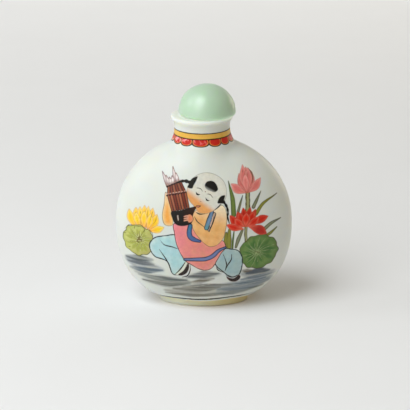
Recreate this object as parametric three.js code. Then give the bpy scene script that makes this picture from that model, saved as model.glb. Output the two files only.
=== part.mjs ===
// A flattened snuff bottle of white opal glass, closed by a domed green glass stopper on a cork.
// Units are millimetres and +Z is up. The origin lies on the plane the foot stands on, under the
// middle of the body. The width runs along X, and the broad front face looks towards -Y.
import * as THREE from "three";

// Body: a flattened ball, a little fuller towards the foot and the neck than an ellipse.
const BODY_WIDTH = 56;
const BODY_DEPTH = 33.6;
const BODY_CENTRE_Z = 26.1;
const SHOULDER_RISE = 27.9; // widest level up to where the shoulder would close without a neck
const BELLY_DROP = 27; // widest level down to where the belly would close without a foot
const SHOULDER_POWER = 2.04; // 2 is an ellipse, and more is squarer
const BELLY_POWER = 2.4;

// Foot: a low oval ring around a shallow recess.
const FOOT_WIDTH = 28.2;
const FOOT_DEPTH = 17.2;
const FOOT_HEIGHT = 2.7;
const FOOT_GROOVE = 0.35; // how far the ring is pinched where it meets the belly
const FOOT_EDGE_RADIUS = 0.5;
const FOOT_RING_WIDTH = 2.2;
const FOOT_RECESS = 1;

// Neck: round, waisted, with a thin flared lip. It was formed by hand and leans a little to -X.
const NECK_RADIUS = 8.78;
const NECK_WAIST_Z = 56.4;
const NECK_ROOT_RADIUS = 9.9;
const NECK_ROOT_Z = 52.4;
const LIP_RADIUS = 9.7;
const LIP_THICKNESS = 0.9;
const LIP_FLARE_POWER = 4; // higher keeps the neck straight for longer below the lip
const RIM_Z = 60.8;
const NECK_LEAN = 0.66; // how far the rim's middle is from the body's
const SIDE_BLEND = 1.2; // size of the hollow curve where neck and shoulder meet at the sides
const FRONT_BLEND = 4.5; // and its size at the front and back, where they meet more gently

// Hollow: an even wall, and a straight bore through the neck.
const WALL = 3;
const BORE_RADIUS = 3.9;
const BORE_CHAMFER = 0.4;
const BORE_BLEND = 1.6;

// Stopper: a cabochon dome that sits a little off the bottle's axis, and the cork under it.
const DOME_RADIUS = 9;
const DOME_HEIGHT = 9.6;
const DOME_EDGE_RADIUS = 1;
const DOME_OFFSET_X = 1;
const DOME_TILT_DEGREES = 1.2;
const SEAT_GAP = 0.3; // clearance between parts that touch
const CORK_RADIUS = BORE_RADIUS - SEAT_GAP;
const CORK_TIP_RADIUS = 3.2;
const CORK_LENGTH = 8.5;
const CORK_CHAMFER = 0.4;

// How finely the shapes are divided.
const BOTTLE_SIDES = 64;
const BELLY_RINGS = 9;
const SHOULDER_RINGS = 10;
const NECK_RINGS = 9;
const CAVITY_RINGS = 14;
const EDGE_STEPS = 3;
const STOPPER_SIDES = 48;
const DOME_RINGS = 10;

const opalGlass = new THREE.MeshStandardMaterial({ color: 0xe6ebe8, roughness: 0.22, metalness: 0 });
const jadeGlass = new THREE.MeshStandardMaterial({ color: 0xa6d3af, roughness: 0.3, metalness: 0 });
const corkWood = new THREE.MeshStandardMaterial({ color: 0xb08a5a, roughness: 0.9, metalness: 0 });

// Evenly spread numbers from one value to another, both included.
function spread(from, to, steps) {
  return Array.from({ length: steps + 1 }, (_, i) => from + ((to - from) * i) / steps);
}

// The larger of two lengths, with the corner between them rounded over the given size.
function smoothMax(a, b, size) {
  const overlap = Math.max(size - Math.abs(a - b), 0) / size;
  return Math.max(a, b) + (overlap * overlap * size) / 4;
}

// Distance from the axis to an oval outline along the unit direction d.
function ovalReach(halfWidth, halfDepth, d) {
  return 1 / Math.hypot(d.x / halfWidth, d.y / halfDepth);
}

// Share of its full width that a rounded body keeps at a height above or below its widest level.
function fullness(height, rise, drop) {
  const [reach, power] = height >= 0 ? [rise, SHOULDER_POWER] : [drop, BELLY_POWER];
  const left = 1 - (Math.abs(height) / reach) ** power;
  return left > 0 ? left ** (1 / power) : 0;
}

// Distance from the axis to the flattened ball, or to one drawn inside it at a wall's thickness.
function bodyReach(z, inset, d) {
  const share = fullness(z - BODY_CENTRE_Z, SHOULDER_RISE - inset, BELLY_DROP - inset);
  return share * ovalReach(BODY_WIDTH / 2 - inset, BODY_DEPTH / 2 - inset, d);
}

// Radius of the neck: a cosine flare from the waist down to its root, and a late one up to the lip.
function neckRadius(z) {
  if (z < NECK_WAIST_Z) {
    const share = (NECK_WAIST_Z - z) / (NECK_WAIST_Z - NECK_ROOT_Z);
    return NECK_RADIUS + (NECK_ROOT_RADIUS - NECK_RADIUS) * (1 - Math.cos(Math.min(share, 1) * Math.PI / 2));
  }
  const share = Math.min((z - NECK_WAIST_Z) / (RIM_Z - LIP_THICKNESS - NECK_WAIST_Z), 1);
  return NECK_RADIUS + (LIP_RADIUS - NECK_RADIUS) * share ** LIP_FLARE_POWER;
}

// How far the middle of a level is off the axis: nothing up to the widest level, then more and more.
function lean(z) {
  return -NECK_LEAN * (Math.max(z - BODY_CENTRE_Z, 0) / (RIM_Z - BODY_CENTRE_Z)) ** 2;
}

// One level of the bottle: its height, and the distance to the wall along a direction.
const ring = (z, reach) => ({ z, reach });

function footRings() {
  const oval = (inset) => (d) => ovalReach(FOOT_WIDTH / 2 - inset, FOOT_DEPTH / 2 - inset, d);
  const edge = spread(0, Math.PI / 2, EDGE_STEPS).map((turn) =>
    ring(FOOT_EDGE_RADIUS * (1 - Math.cos(turn)), oval(FOOT_EDGE_RADIUS * (1 - Math.sin(turn)))),
  );
  return [
    ring(FOOT_RECESS, oval(FOOT_RING_WIDTH + FOOT_EDGE_RADIUS)),
    ring(0, oval(FOOT_RING_WIDTH)),
    ...edge,
    ring(FOOT_HEIGHT - FOOT_GROOVE, oval(FOOT_GROOVE)),
  ];
}

// Levels of the belly are spread by angle, so that they crowd where the wall turns in.
function bellyRings() {
  const lowest = Math.asin((BODY_CENTRE_Z - FOOT_HEIGHT) / BELLY_DROP);
  return spread(lowest, 0, BELLY_RINGS).map((angle) => {
    const z = BODY_CENTRE_Z - BELLY_DROP * Math.sin(angle);
    return ring(z, (d) => bodyReach(z, 0, d));
  });
}

function outerReach(z, d) {
  const blend = SIDE_BLEND + (FRONT_BLEND - SIDE_BLEND) * d.y ** 2;
  return smoothMax(bodyReach(z, 0, d), neckRadius(z), blend);
}

function shoulderRings() {
  const highest = Math.asin((NECK_ROOT_Z - BODY_CENTRE_Z) / SHOULDER_RISE);
  return spread(0, highest, SHOULDER_RINGS)
    .slice(1)
    .map((angle) => BODY_CENTRE_Z + SHOULDER_RISE * Math.sin(angle))
    .map((z) => ring(z, (d) => outerReach(z, d)));
}

function neckRings() {
  return spread(NECK_ROOT_Z, RIM_Z - LIP_THICKNESS, NECK_RINGS)
    .slice(1)
    .map((z) => ring(z, (d) => outerReach(z, d)));
}

// The lip's edge is a half round, and its top is flat in to the bore.
function lipRings() {
  const half = LIP_THICKNESS / 2;
  const edge = spread(-Math.PI / 2, Math.PI / 2, 2 * EDGE_STEPS)
    .slice(1)
    .map((turn) => {
      const radius = LIP_RADIUS + half * (Math.cos(turn) - 1) * Math.sign(turn > 0);
      return ring(RIM_Z - half + half * Math.sin(turn), () => radius);
    });
  return [...edge, ring(RIM_Z, () => BORE_RADIUS + BORE_CHAMFER)];
}

// The bore runs down into the hollow, which follows the outside at the wall's thickness.
function cavityRings() {
  const reach = (z) => (d) => smoothMax(bodyReach(z, WALL, d), BORE_RADIUS, BORE_BLEND);
  const top = BODY_CENTRE_Z + SHOULDER_RISE - WALL;
  const lowest = BODY_CENTRE_Z - BELLY_DROP + WALL;
  const levels = spread(Math.PI / 2, -Math.PI / 2, CAVITY_RINGS)
    .map((angle) => BODY_CENTRE_Z + (angle > 0 ? top - BODY_CENTRE_Z : BODY_CENTRE_Z - lowest) * Math.sin(angle))
    .slice(1, -1);
  const ending = (z) => (d) => bodyReach(z, WALL, d);
  return [
    ring(RIM_Z - BORE_CHAMFER, () => BORE_RADIUS),
    ring(top, () => BORE_RADIUS),
    ...levels.map((z) => ring(z, z > BODY_CENTRE_Z ? reach(z) : ending(z))),
  ];
}

// A closed skin through the rings, with its first and last ring drawn together to a point on the axis.
function skin(rings, firstZ, lastZ, sides) {
  const directions = spread(0, 2 * Math.PI, sides)
    .slice(0, sides)
    .map((turn) => new THREE.Vector2(BODY_WIDTH * Math.cos(turn), BODY_DEPTH * Math.sin(turn)).normalize());
  const places = [0, 0, firstZ];
  for (const { z, reach } of rings) {
    for (const d of directions) {
      places.push(lean(z) + d.x * reach(d), d.y * reach(d), z);
    }
  }
  places.push(0, 0, lastZ);
  const corner = (level, side) => 1 + level * sides + (side % sides);
  const end = places.length / 3 - 1;
  const faces = [];
  for (let side = 0; side < sides; side++) {
    faces.push(0, corner(0, side + 1), corner(0, side));
    for (let level = 0; level < rings.length - 1; level++) {
      const [a, b] = [corner(level, side), corner(level, side + 1)];
      const [c, d] = [corner(level + 1, side + 1), corner(level + 1, side)];
      faces.push(a, b, c, a, c, d);
    }
    faces.push(corner(rings.length - 1, side), corner(rings.length - 1, side + 1), end);
  }
  const geometry = new THREE.BufferGeometry();
  geometry.setAttribute("position", new THREE.Float32BufferAttribute(places, 3));
  geometry.setIndex(faces);
  geometry.computeVertexNormals();
  return geometry;
}

function bottleMesh() {
  const rings = [
    ...footRings(),
    ...bellyRings(),
    ...shoulderRings(),
    ...neckRings(),
    ...lipRings(),
    ...cavityRings(),
  ];
  const cavityFloor = BODY_CENTRE_Z - BELLY_DROP + WALL;
  const mesh = new THREE.Mesh(skin(rings, FOOT_RECESS, cavityFloor, BOTTLE_SIDES), opalGlass);
  mesh.name = "bottle";
  return mesh;
}

// A solid of revolution about Z from (radius, height) pairs that start and end on the axis.
function turned(profile, sides) {
  const points = profile.map(([radius, z]) => new THREE.Vector2(radius, z));
  return new THREE.LatheGeometry(points, sides).rotateX(Math.PI / 2);
}

// The dome's underside is flat, its edge is rounded, and the rest is half an ellipse.
function domeMesh() {
  const widestZ = DOME_EDGE_RADIUS;
  const edge = spread(-Math.PI / 2, 0, EDGE_STEPS).map((turn) => [
    DOME_RADIUS - DOME_EDGE_RADIUS + DOME_EDGE_RADIUS * Math.cos(turn),
    widestZ + DOME_EDGE_RADIUS * Math.sin(turn),
  ]);
  const crown = spread(0, Math.PI / 2, DOME_RINGS)
    .slice(1, -1)
    .map((turn) => [DOME_RADIUS * Math.cos(turn), widestZ + (DOME_HEIGHT - widestZ) * Math.sin(turn)]);
  const mesh = new THREE.Mesh(turned([[0, 0], ...edge, ...crown, [0, DOME_HEIGHT]], STOPPER_SIDES), jadeGlass);
  mesh.name = "stopper_dome";
  const tilt = THREE.MathUtils.degToRad(DOME_TILT_DEGREES);
  const lowSideDrop = (lean(RIM_Z) + LIP_RADIUS - DOME_OFFSET_X) * Math.sin(tilt);
  mesh.rotation.y = tilt;
  mesh.position.set(DOME_OFFSET_X, 0, RIM_Z + SEAT_GAP + lowSideDrop);
  return mesh;
}

// The cork's axis follows the leaning bore.
function corkMesh() {
  const profile = [
    [0, -CORK_LENGTH],
    [CORK_TIP_RADIUS - CORK_CHAMFER, -CORK_LENGTH],
    [CORK_TIP_RADIUS, -CORK_LENGTH + CORK_CHAMFER],
    [CORK_RADIUS, 0],
    [0, 0],
  ];
  const mesh = new THREE.Mesh(turned(profile, STOPPER_SIDES), corkWood);
  mesh.name = "stopper_cork";
  mesh.rotation.y = Math.atan2(lean(RIM_Z) - lean(RIM_Z - CORK_LENGTH), CORK_LENGTH);
  mesh.position.set(lean(RIM_Z), 0, RIM_Z);
  return mesh;
}

const snuffBottle = new THREE.Group();
snuffBottle.add(bottleMesh(), domeMesh(), corkMesh());

export default snuffBottle;
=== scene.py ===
"""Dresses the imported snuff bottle: opal glass painted in enamels, a jade-green stopper and a pale stage.

The painting is worked out in millimetres on the front of the body: x runs across, and h is the height
above the body's widest level. Each coat of enamel is a set of patches. A coat reaches the material as
one colour attribute: its red, green and blue are the enamel, and its alpha is the distance to the
nearest edge in millimetres, below zero inside a patch. The material cuts crisp edges and inked lines
from that distance, and lays the coats over one another in painter's order.
"""

import math
from collections import namedtuple

import bpy
import numpy as np
from bpy.props import FloatProperty, FloatVectorProperty, PointerProperty
from mathutils import Matrix, Vector


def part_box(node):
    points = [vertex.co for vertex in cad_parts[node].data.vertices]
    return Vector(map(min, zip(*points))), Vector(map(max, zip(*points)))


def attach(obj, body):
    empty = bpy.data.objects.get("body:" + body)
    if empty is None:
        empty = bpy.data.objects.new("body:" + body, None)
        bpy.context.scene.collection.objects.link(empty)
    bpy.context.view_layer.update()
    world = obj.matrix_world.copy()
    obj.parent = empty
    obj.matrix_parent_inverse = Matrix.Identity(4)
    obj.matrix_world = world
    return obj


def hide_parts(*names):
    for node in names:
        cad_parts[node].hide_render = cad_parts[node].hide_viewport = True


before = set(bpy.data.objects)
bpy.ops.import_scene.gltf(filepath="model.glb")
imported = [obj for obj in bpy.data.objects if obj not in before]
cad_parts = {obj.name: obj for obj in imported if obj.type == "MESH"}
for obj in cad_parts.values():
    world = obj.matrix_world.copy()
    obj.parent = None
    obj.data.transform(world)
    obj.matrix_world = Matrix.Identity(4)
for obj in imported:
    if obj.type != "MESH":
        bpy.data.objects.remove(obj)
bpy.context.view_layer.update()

bl_info = {
    "name": "Painted snuff bottle",
    "version": (1, 0, 0),
    "blender": (4, 5, 0),
    "location": "3D View > Sidebar > Snuff Bottle",
    "description": "Makes a painted opal glass snuff bottle, its stopper and a stage",
    "category": "Object",
}

MM = 0.001
BODY = "root"

# The solids' own boxes give the main sizes, in millimetres.
HALF_WIDTH, HALF_DEPTH, RIM_Z = np.array(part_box("bottle")[1]) / MM
DOME_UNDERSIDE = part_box("stopper_dome")[0][2] / MM

# The body's curve. The share of the full width left at height h is (1 - (h / reach) ** power) ** (1 / power).
# It runs into the neck with a rounded blend, wider at the front and the back than at the sides.
LEVEL = 26.1
SHOULDER_REACH = 27.9
SHOULDER_POWER = 2.04
BELLY_REACH = 27.0
BELLY_POWER = 2.4
SIDE_BLEND = 1.2
FRONT_BLEND = 4.5

# Neck and lip. The neck is narrowest at its waist, and leans a little to -X.
NECK_WAIST_Z = 56.4
NECK_ROOT_Z = 52.4
NECK_ROOT_RADIUS = 9.9
LIP_RADIUS = 9.7
LIP_THICKNESS = 0.9
LIP_FLARE_POWER = 4
NECK_LEAN = 0.66

# Foot ring: its size at the floor, how far its side draws in towards the body, the radius of its edge, the
# breadth it stands on and the depth of the recess inside it.
FOOT_HALF_WIDTH = 14.1
FOOT_HALF_DEPTH = 8.6
FOOT_GROOVE = 0.35
FOOT_EDGE = 0.5
FOOT_RING = 2.2
FOOT_RECESS = 1.0

# The bore through the neck, the chamfer at its mouth and its rounded blend into the hollow.
BORE_RADIUS = 3.9
BORE_CHAMFER = 0.4
BORE_BLEND = 1.6

# Stopper: how far the smooth dome sits below its solid to touch the lip, its edge's radius, how far it is off
# the bottle's axis and how far it tilts.
SEAT_GAP = 0.3
DOME_EDGE = 1.0
DOME_OFFSET = 1.0
DOME_TILT = math.radians(1.2)
DOME_SIDES = 128

# Painted light, a glow that lightens the shade where the dome meets the lip: on the lip within a radius of
# the dome's axis, and low on the dome.
LIP_PAINTED_LIGHT_RADIUS = 8.9
LIP_PAINTED_LIGHT_Z = 60.3
DOME_PAINTED_LIGHT_Z = 61.5

# Paint on the neck and above the foot.
LAPPET_LEAN_Z = 54.0
BAND_HALF_WIDTH = 0.85
BAND_LINE_OFFSET = 0.9
FOOT_LINE_TILT = 0.03

# The painter's hand: how far an edge strays, and the share by which inked lines thin and thicken.
EDGE_WAVER = 0.16
INK_WAVER = 1.6

# How much wider than its row says a stroke of water or of wash spreads.
WATER_SPREAD = 1.75
WASH_SPREAD = 1.4

# Stage: linear colours, and how far the view's middle is aside from and above the body's middle.
DAYLIGHT = (0.96, 1.0, 1.03)
PAPER_TOOTH = (0.72, 0.72, 0.71)
AIM_ASIDE = 0.38
AIM_RISE = 4.77

# How close together the points of the skin lie: fine inside the painting's bounds on the front.
FINE = 0.235
MEDIUM = 0.38
COARSE = 0.64
FINE_X = 17.5
FINE_H = (-14.5, 20.0)

FAR = 9.0  # a distance that reaches no patch
REACH = 2.0  # how far outside a patch its distance is worked out
SKIN_DEPTH = 0.03  # how far inside the body's curve, as a share of its width, a point still counts as outer
TINY = 1e-12  # keeps a division from zero
CURVE_STEPS = 7  # stretches from one point of a smooth outline to the next
PETAL_STEPS = 18  # points along a petal's side


# ---------------------------------------------------------------- surfaces


def crowd(values, spacing):
    """Places about one spacing apart: the running sum of 1 / spacing, read back in equal steps."""
    steps = 0.5 * (1 / spacing[1:] + 1 / spacing[:-1]) * np.abs(np.diff(values))
    total = np.concatenate([[0.0], np.cumsum(steps)])
    count = max(int(round(total[-1])), 1)
    return np.interp(np.linspace(0, total[-1], count + 1), total, values)


def smooth_max(a, b, size):
    """The larger of two lengths plus size / 4 * o ** 2, with o = 1 - |a - b| / size or else zero."""
    overlap = np.maximum(size - np.abs(a - b), 0) / size
    return np.maximum(a, b) + overlap**2 * size / 4


def fullness(h, inset=0.0):
    """Share of the full width at height h: (1 - (|h| / reach) ** power) ** (1 / power)."""
    reach = np.where(h >= 0, SHOULDER_REACH, BELLY_REACH) - inset
    power = np.where(h >= 0, SHOULDER_POWER, BELLY_POWER)
    return np.maximum(1 - (np.abs(h) / reach) ** power, 0) ** (1 / power)


def oval_reach(half_width, half_depth, directions):
    """Distance from the axis to an oval along each unit direction: 1 / |(dx / a, dy / b)|."""
    return 1 / np.hypot(directions[:, 0] / half_width, directions[:, 1] / half_depth)


def body_reach(z, inset, directions):
    """Distance from the axis to the flattened ball, or to its inset: fullness times the oval's reach."""
    oval = oval_reach(HALF_WIDTH - inset, HALF_DEPTH - inset, directions)
    return fullness(z - LEVEL, inset)[:, None] * oval[None, :]


def neck_radius(z, waist):
    """Radius of the neck, flaring both ways from its waist.

    Below it adds the root's flare * (1 - cos(share * pi / 2)), and above it the lip's flare * share ** 4.
    """
    below = np.clip((NECK_WAIST_Z - z) / (NECK_WAIST_Z - NECK_ROOT_Z), 0, 1)
    above = np.clip((z - NECK_WAIST_Z) / (RIM_Z - LIP_THICKNESS - NECK_WAIST_Z), 0, 1)
    flare = (NECK_ROOT_RADIUS - waist) * (1 - np.cos(below * np.pi / 2))
    return waist + flare + (LIP_RADIUS - waist) * above**LIP_FLARE_POWER


def lean(z):
    """A level's middle, -NECK_LEAN * s ** 2 off the axis, with s 0 at the widest level and 1 at the rim."""
    return -NECK_LEAN * (np.maximum(z - LEVEL, 0) / (RIM_Z - LEVEL)) ** 2


def skin_directions():
    """Unit directions around the bottle, closest together across the painted front."""
    angle = np.linspace(0, 2 * np.pi, 6001)
    x, y = HALF_WIDTH * np.cos(angle), HALF_DEPTH * np.sin(angle)
    speed = np.hypot(HALF_WIDTH * np.sin(angle), HALF_DEPTH * np.cos(angle))
    front = MEDIUM + (FINE - MEDIUM) / (1 + np.exp((np.abs(x) - FINE_X) * 2))
    spacing = np.where(y < 0, front, COARSE)
    turns = crowd(angle, spacing / speed)[:-1]
    directions = np.stack([HALF_WIDTH * np.cos(turns), HALF_DEPTH * np.sin(turns)], 1)
    return directions / np.linalg.norm(directions, axis=1)[:, None]


def skin_levels(low, high):
    """Heights of the body's rings, closest together across the painting, measured along its front curve."""
    z = np.linspace(low, high, 3001)
    slope = np.gradient(HALF_DEPTH * fullness(z - LEVEL), z)
    inside = (z - LEVEL > FINE_H[0]) & (z - LEVEL < FINE_H[1])
    spacing = np.where(inside, FINE, MEDIUM)
    return crowd(z, spacing / np.hypot(1, np.clip(slope, -3, 3)))


def bottle_rings(settings):
    """Rows of points from the middle of the underside, up the outside, over the lip and down the hollow."""
    directions = skin_directions()
    waist = settings.neck_radius / MM
    wall = settings.wall / MM
    foot_top = settings.foot_height / MM

    def levels(z, reach):
        """One row of points for each height, at its reach along every direction."""
        return np.dstack([directions[:, 0] * reach, directions[:, 1] * reach, z[:, None] + 0 * reach])

    def ring(z, reach):
        """One row of points at one height."""
        return levels(np.array([z]), np.broadcast_to(reach, (1, len(directions))))

    def foot(z, inset):
        """One row of the foot's oval, drawn inwards by inset."""
        return ring(z, oval_reach(FOOT_HALF_WIDTH - inset, FOOT_HALF_DEPTH - inset, directions))

    turn = np.linspace(0, np.pi / 2, 7)
    recess = [foot(FOOT_RECESS, FOOT_RING + FOOT_EDGE + inset) for inset in (5.0, 2.5, 0.4, 0.0)]
    ring_flat = [foot(0.0, FOOT_RING), foot(0.0, (FOOT_RING + FOOT_EDGE) / 2)]
    edge = [foot(FOOT_EDGE * (1 - math.cos(t)), FOOT_EDGE * (1 - math.sin(t))) for t in turn]
    side = [foot(z, FOOT_GROOVE * (z / foot_top) ** 3) for z in np.linspace(FOOT_EDGE, foot_top, 7)[1:]]
    neck_start = NECK_ROOT_Z - 3
    blend = SIDE_BLEND + (FRONT_BLEND - SIDE_BLEND) * directions[:, 1] ** 2
    neck_z = np.linspace(neck_start, RIM_Z - LIP_THICKNESS, 34)[1:]
    outside_z = np.concatenate([skin_levels(foot_top, neck_start), neck_z])
    body = body_reach(outside_z, 0.0, directions)
    neck = neck_radius(outside_z, waist)[:, None] + 0 * body
    outside = levels(outside_z, smooth_max(body, neck, blend[None, :]))
    half = LIP_THICKNESS / 2
    lip = [
        ring(RIM_Z - half + half * math.sin(t), LIP_RADIUS + half * (math.cos(t) - 1) * (t > 0))
        for t in np.linspace(-np.pi / 2, np.pi / 2, 11)[1:]
    ]
    mouth = [
        ring(RIM_Z, (LIP_RADIUS + BORE_RADIUS) / 2),
        ring(RIM_Z, BORE_RADIUS + BORE_CHAMFER),
        ring(RIM_Z - BORE_CHAMFER, BORE_RADIUS),
    ]
    top = LEVEL + SHOULDER_REACH - wall
    floor = LEVEL - BELLY_REACH + wall
    angle = np.linspace(np.pi / 2, -np.pi / 2, 24)[1:-1]
    hollow_z = LEVEL + np.where(angle > 0, top - LEVEL, LEVEL - floor) * np.sin(angle)
    hollow = body_reach(hollow_z, wall, directions)
    hollow = np.where(hollow_z[:, None] > LEVEL, smooth_max(hollow, BORE_RADIUS, BORE_BLEND), hollow)
    rows = recess + ring_flat + edge + side + [outside] + lip + mouth
    rows += [ring(top, BORE_RADIUS), levels(hollow_z, hollow)]
    rings = np.concatenate(rows)
    rings[:, :, 0] += lean(rings[:, :, 2])
    return rings, (0.0, 0.0, FOOT_RECESS), (0.0, 0.0, floor)


def dome_rings(settings):
    """Rows of points of the dome, from the middle of its underside to its top, tilted and set on the lip.

    Its outline is a flat underside, a quarter circle of DOME_EDGE at the edge and a quarter oval above it.
    """
    radius, height = settings.radius / MM, settings.height / MM
    flat = np.linspace(0, radius - DOME_EDGE, 6)[1:-1]
    edge = np.linspace(-np.pi / 2, 0, 9)
    crown = np.linspace(0, np.pi / 2, 40)[1:-1]
    across = np.concatenate([flat, radius - DOME_EDGE + DOME_EDGE * np.cos(edge), radius * np.cos(crown)])
    up = DOME_EDGE + np.concatenate(
        [np.full_like(flat, -DOME_EDGE), DOME_EDGE * np.sin(edge), (height - DOME_EDGE) * np.sin(crown)]
    )
    turn = np.linspace(0, 2 * np.pi, DOME_SIDES, endpoint=False)
    x, y = across[:, None] * np.cos(turn), across[:, None] * np.sin(turn)
    tilt = np.array(Matrix.Rotation(DOME_TILT, 3, "Y"))
    rings = np.dstack([x, y, up[:, None] + 0 * x]) @ tilt.T
    place = np.array([settings.offset / MM, 0, DOME_UNDERSIDE - SEAT_GAP - rings[:, :, 2].min()])
    return rings + place, place, tilt @ np.array([0, 0, height]) + place


def place_in_scene(name, data):
    """A new object in the scene."""
    thing = bpy.data.objects.new(name, data)
    bpy.context.scene.collection.objects.link(thing)
    return thing


def skin_piece(name, rings, first, last):
    """A closed piece over rows of points (rows, sides, 3) in millimetres, with a pole at each end.

    Side j of row i is joined to side j + 1 and to row i + 1. The map named OFBake spreads rows and sides
    evenly over the unit square, so the closely spaced front gets the most room.
    """
    rows, sides, _ = rings.shape
    points = np.concatenate([rings.reshape(-1, 3), [first], [last]]) * MM
    row, side = np.meshgrid(np.arange(rows - 1), np.arange(sides), indexing="ij")
    corner = row * sides + side
    beside = row * sides + (side + 1) % sides
    quads = np.stack([corner, beside, beside + sides, corner + sides], -1)
    around = np.arange(sides)
    beyond = (around + 1) % sides
    top = (rows - 1) * sides
    low_cap = np.stack([np.full(sides, rows * sides), beyond, around], -1)
    high_cap = np.stack([top + around, top + beyond, np.full(sides, rows * sides + 1)], -1)
    loops = np.concatenate([quads.reshape(-1), low_cap.reshape(-1), high_cap.reshape(-1)])
    sizes = np.concatenate([np.full(quads.size // 4, 4), np.full(2 * sides, 3)])

    mesh = bpy.data.meshes.new(name)
    mesh.vertices.add(len(points))
    mesh.vertices.foreach_set("co", points.astype(np.float32).ravel())
    mesh.loops.add(len(loops))
    mesh.loops.foreach_set("vertex_index", loops.astype(np.int32))
    mesh.polygons.add(len(sizes))
    mesh.polygons.foreach_set("loop_start", np.concatenate([[0], np.cumsum(sizes)[:-1]]).astype(np.int32))
    mesh.update(calc_edges=True)
    mesh.polygons.foreach_set("use_smooth", np.ones(len(sizes), bool))

    u = np.stack([side, side + 1, side + 1, side], -1) / sides
    low_u = np.stack([around + 0.5, around + 1, around], -1) / sides
    high_u = np.stack([around, around + 1, around + 0.5], -1) / sides
    v = (np.stack([row, row, row + 1, row + 1], -1) + 1) / (rows + 1)
    low_v = np.tile([0, 1, 1], sides) / (rows + 1)
    high_v = np.tile([rows, rows, rows + 1], sides) / (rows + 1)
    flat_u = np.concatenate([u.reshape(-1), low_u.reshape(-1), high_u.reshape(-1)])
    flat_v = np.concatenate([v.reshape(-1), low_v, high_v])
    layer = mesh.uv_layers.new(name="OFBake")
    layer.data.foreach_set("uv", np.stack([flat_u, flat_v], -1).astype(np.float32).ravel())
    mesh.validate()
    return place_in_scene(name, mesh)


# ---------------------------------------------------------------- enamel colours and patches


def enamel(code):
    """Linear red, green and blue of a colour written as six hexadecimal digits."""
    value = np.array([int(code[i : i + 2], 16) for i in (0, 2, 4)]) / 255
    return np.where(value <= 0.04045, value / 12.92, ((value + 0.055) / 1.055) ** 2.4)


def toward(colour, code, share):
    """Each place's colour moved towards another by its own share."""
    return colour + (enamel(code) - colour) * share[:, None]


def curve_through(points, closed=True):
    """A Catmull-Rom curve: each stretch is the cubic that leaves and meets its points smoothly."""
    p = np.array(points, float)
    if closed:
        p = np.concatenate([p[-1:], p, p[:2]])
    else:
        p = np.concatenate([2 * p[:1] - p[1:2], p, 2 * p[-1:] - p[-2:-1]])
    t = (np.arange(CURVE_STEPS) / CURVE_STEPS)[None, :, None]
    a, b, c, d = (p[i : len(p) - 3 + i, None] for i in range(4))
    cubic = 2 * b + (c - a) * t + (2 * a - 5 * b + 4 * c - d) * t**2 + (3 * b - a - 3 * c + d) * t**3
    line = 0.5 * cubic.reshape(-1, p.shape[1])
    return line if closed else np.concatenate([line, p[-2:-1]])


def petal_outline(root, tip, width, bend=0.0):
    """Both sides of a petal along a bowed spine.

    The half width is width / 2 * sin(pi * t ** 1.3), and the spine bows aside by bend * sin(pi * t).
    """
    root, tip = np.array(root, float), np.array(tip, float)
    along = tip - root
    across = np.array([-along[1], along[0]]) / np.hypot(*along)
    t = np.linspace(0, 1, PETAL_STEPS)[:, None]
    spine = root + along * t + across * bend * np.sin(np.pi * t)
    half = width / 2 * np.sin(np.pi * t**1.3)
    return np.concatenate([spine + across * half, (spine - across * half)[-2:0:-1]])


Leaf = namedtuple("Leaf", "middle half_width half_height hub")


def leaf_point(leaf, angle, share):
    """The place at a share of the way from a leaf's middle to its oval rim, at one angle or at many."""
    x, h = leaf.middle
    return x + leaf.half_width * share * np.cos(angle), h + leaf.half_height * share * np.sin(angle)


def leaf_outline(leaf, waves, depth, turn=0.0):
    """An oval rim that waves in and out.

    Its share is 1 + depth * cos(waves * angle + turn) + 0.6 * depth * cos((2 * waves - 3) * angle + 1).
    """
    angle = np.linspace(0, 2 * np.pi, 96, endpoint=False)
    wave = 1 + depth * np.cos(waves * angle + turn) + 0.6 * depth * np.cos((2 * waves - 3) * angle + 1)
    return np.stack(leaf_point(leaf, angle, wave), 1)


def nearest_on_edges(x, h, a, b):
    """For each place and each edge from a to b: the nearest point's share of the edge, and its distance."""
    edge = b - a
    px, ph = x[:, None] - a[:, 0], h[:, None] - a[:, 1]
    share = np.clip((px * edge[:, 0] + ph * edge[:, 1]) / np.maximum((edge**2).sum(1), TINY), 0, 1)
    return share, np.hypot(px - share * edge[:, 0], ph - share * edge[:, 1])


def region_distance(x, h, outline):
    """The least distance to a closed outline's edges, below zero inside by the even-odd rule."""
    a, b = outline, np.roll(outline, -1, axis=0)
    distance = nearest_on_edges(x, h, a, b)[1].min(1)
    run, rise = (b - a).T
    rise = np.where(np.abs(rise) < TINY, TINY, rise)
    crosses = (a[:, 1] > h[:, None]) != (b[:, 1] > h[:, None])
    left = x[:, None] < a[:, 0] + (h[:, None] - a[:, 1]) * run / rise
    inside = (crosses & left).sum(1) % 2 == 1
    return np.where(inside, -distance, distance)


def stroke_distance(x, h, path):
    """Distance to a stroke of rows (x, h, half width): the least one to a stretch less its half width."""
    a, b = path[:-1], path[1:]
    share, distance = nearest_on_edges(x, h, a[:, :2], b[:, :2])
    return (distance - (a[:, 2] + share * (b[:, 2] - a[:, 2]))).min(1)


def wander(x, h):
    """A slow uneven drift between 0 and 1: half of 1 + sin * cos of two skewed sums of x and h."""
    first = np.sin(1.35 * x + 0.8 * h + 0.7 * np.sin(0.9 * h))
    return 0.5 + 0.5 * first * np.cos(1.15 * h - 0.75 * x + 0.5)


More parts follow.
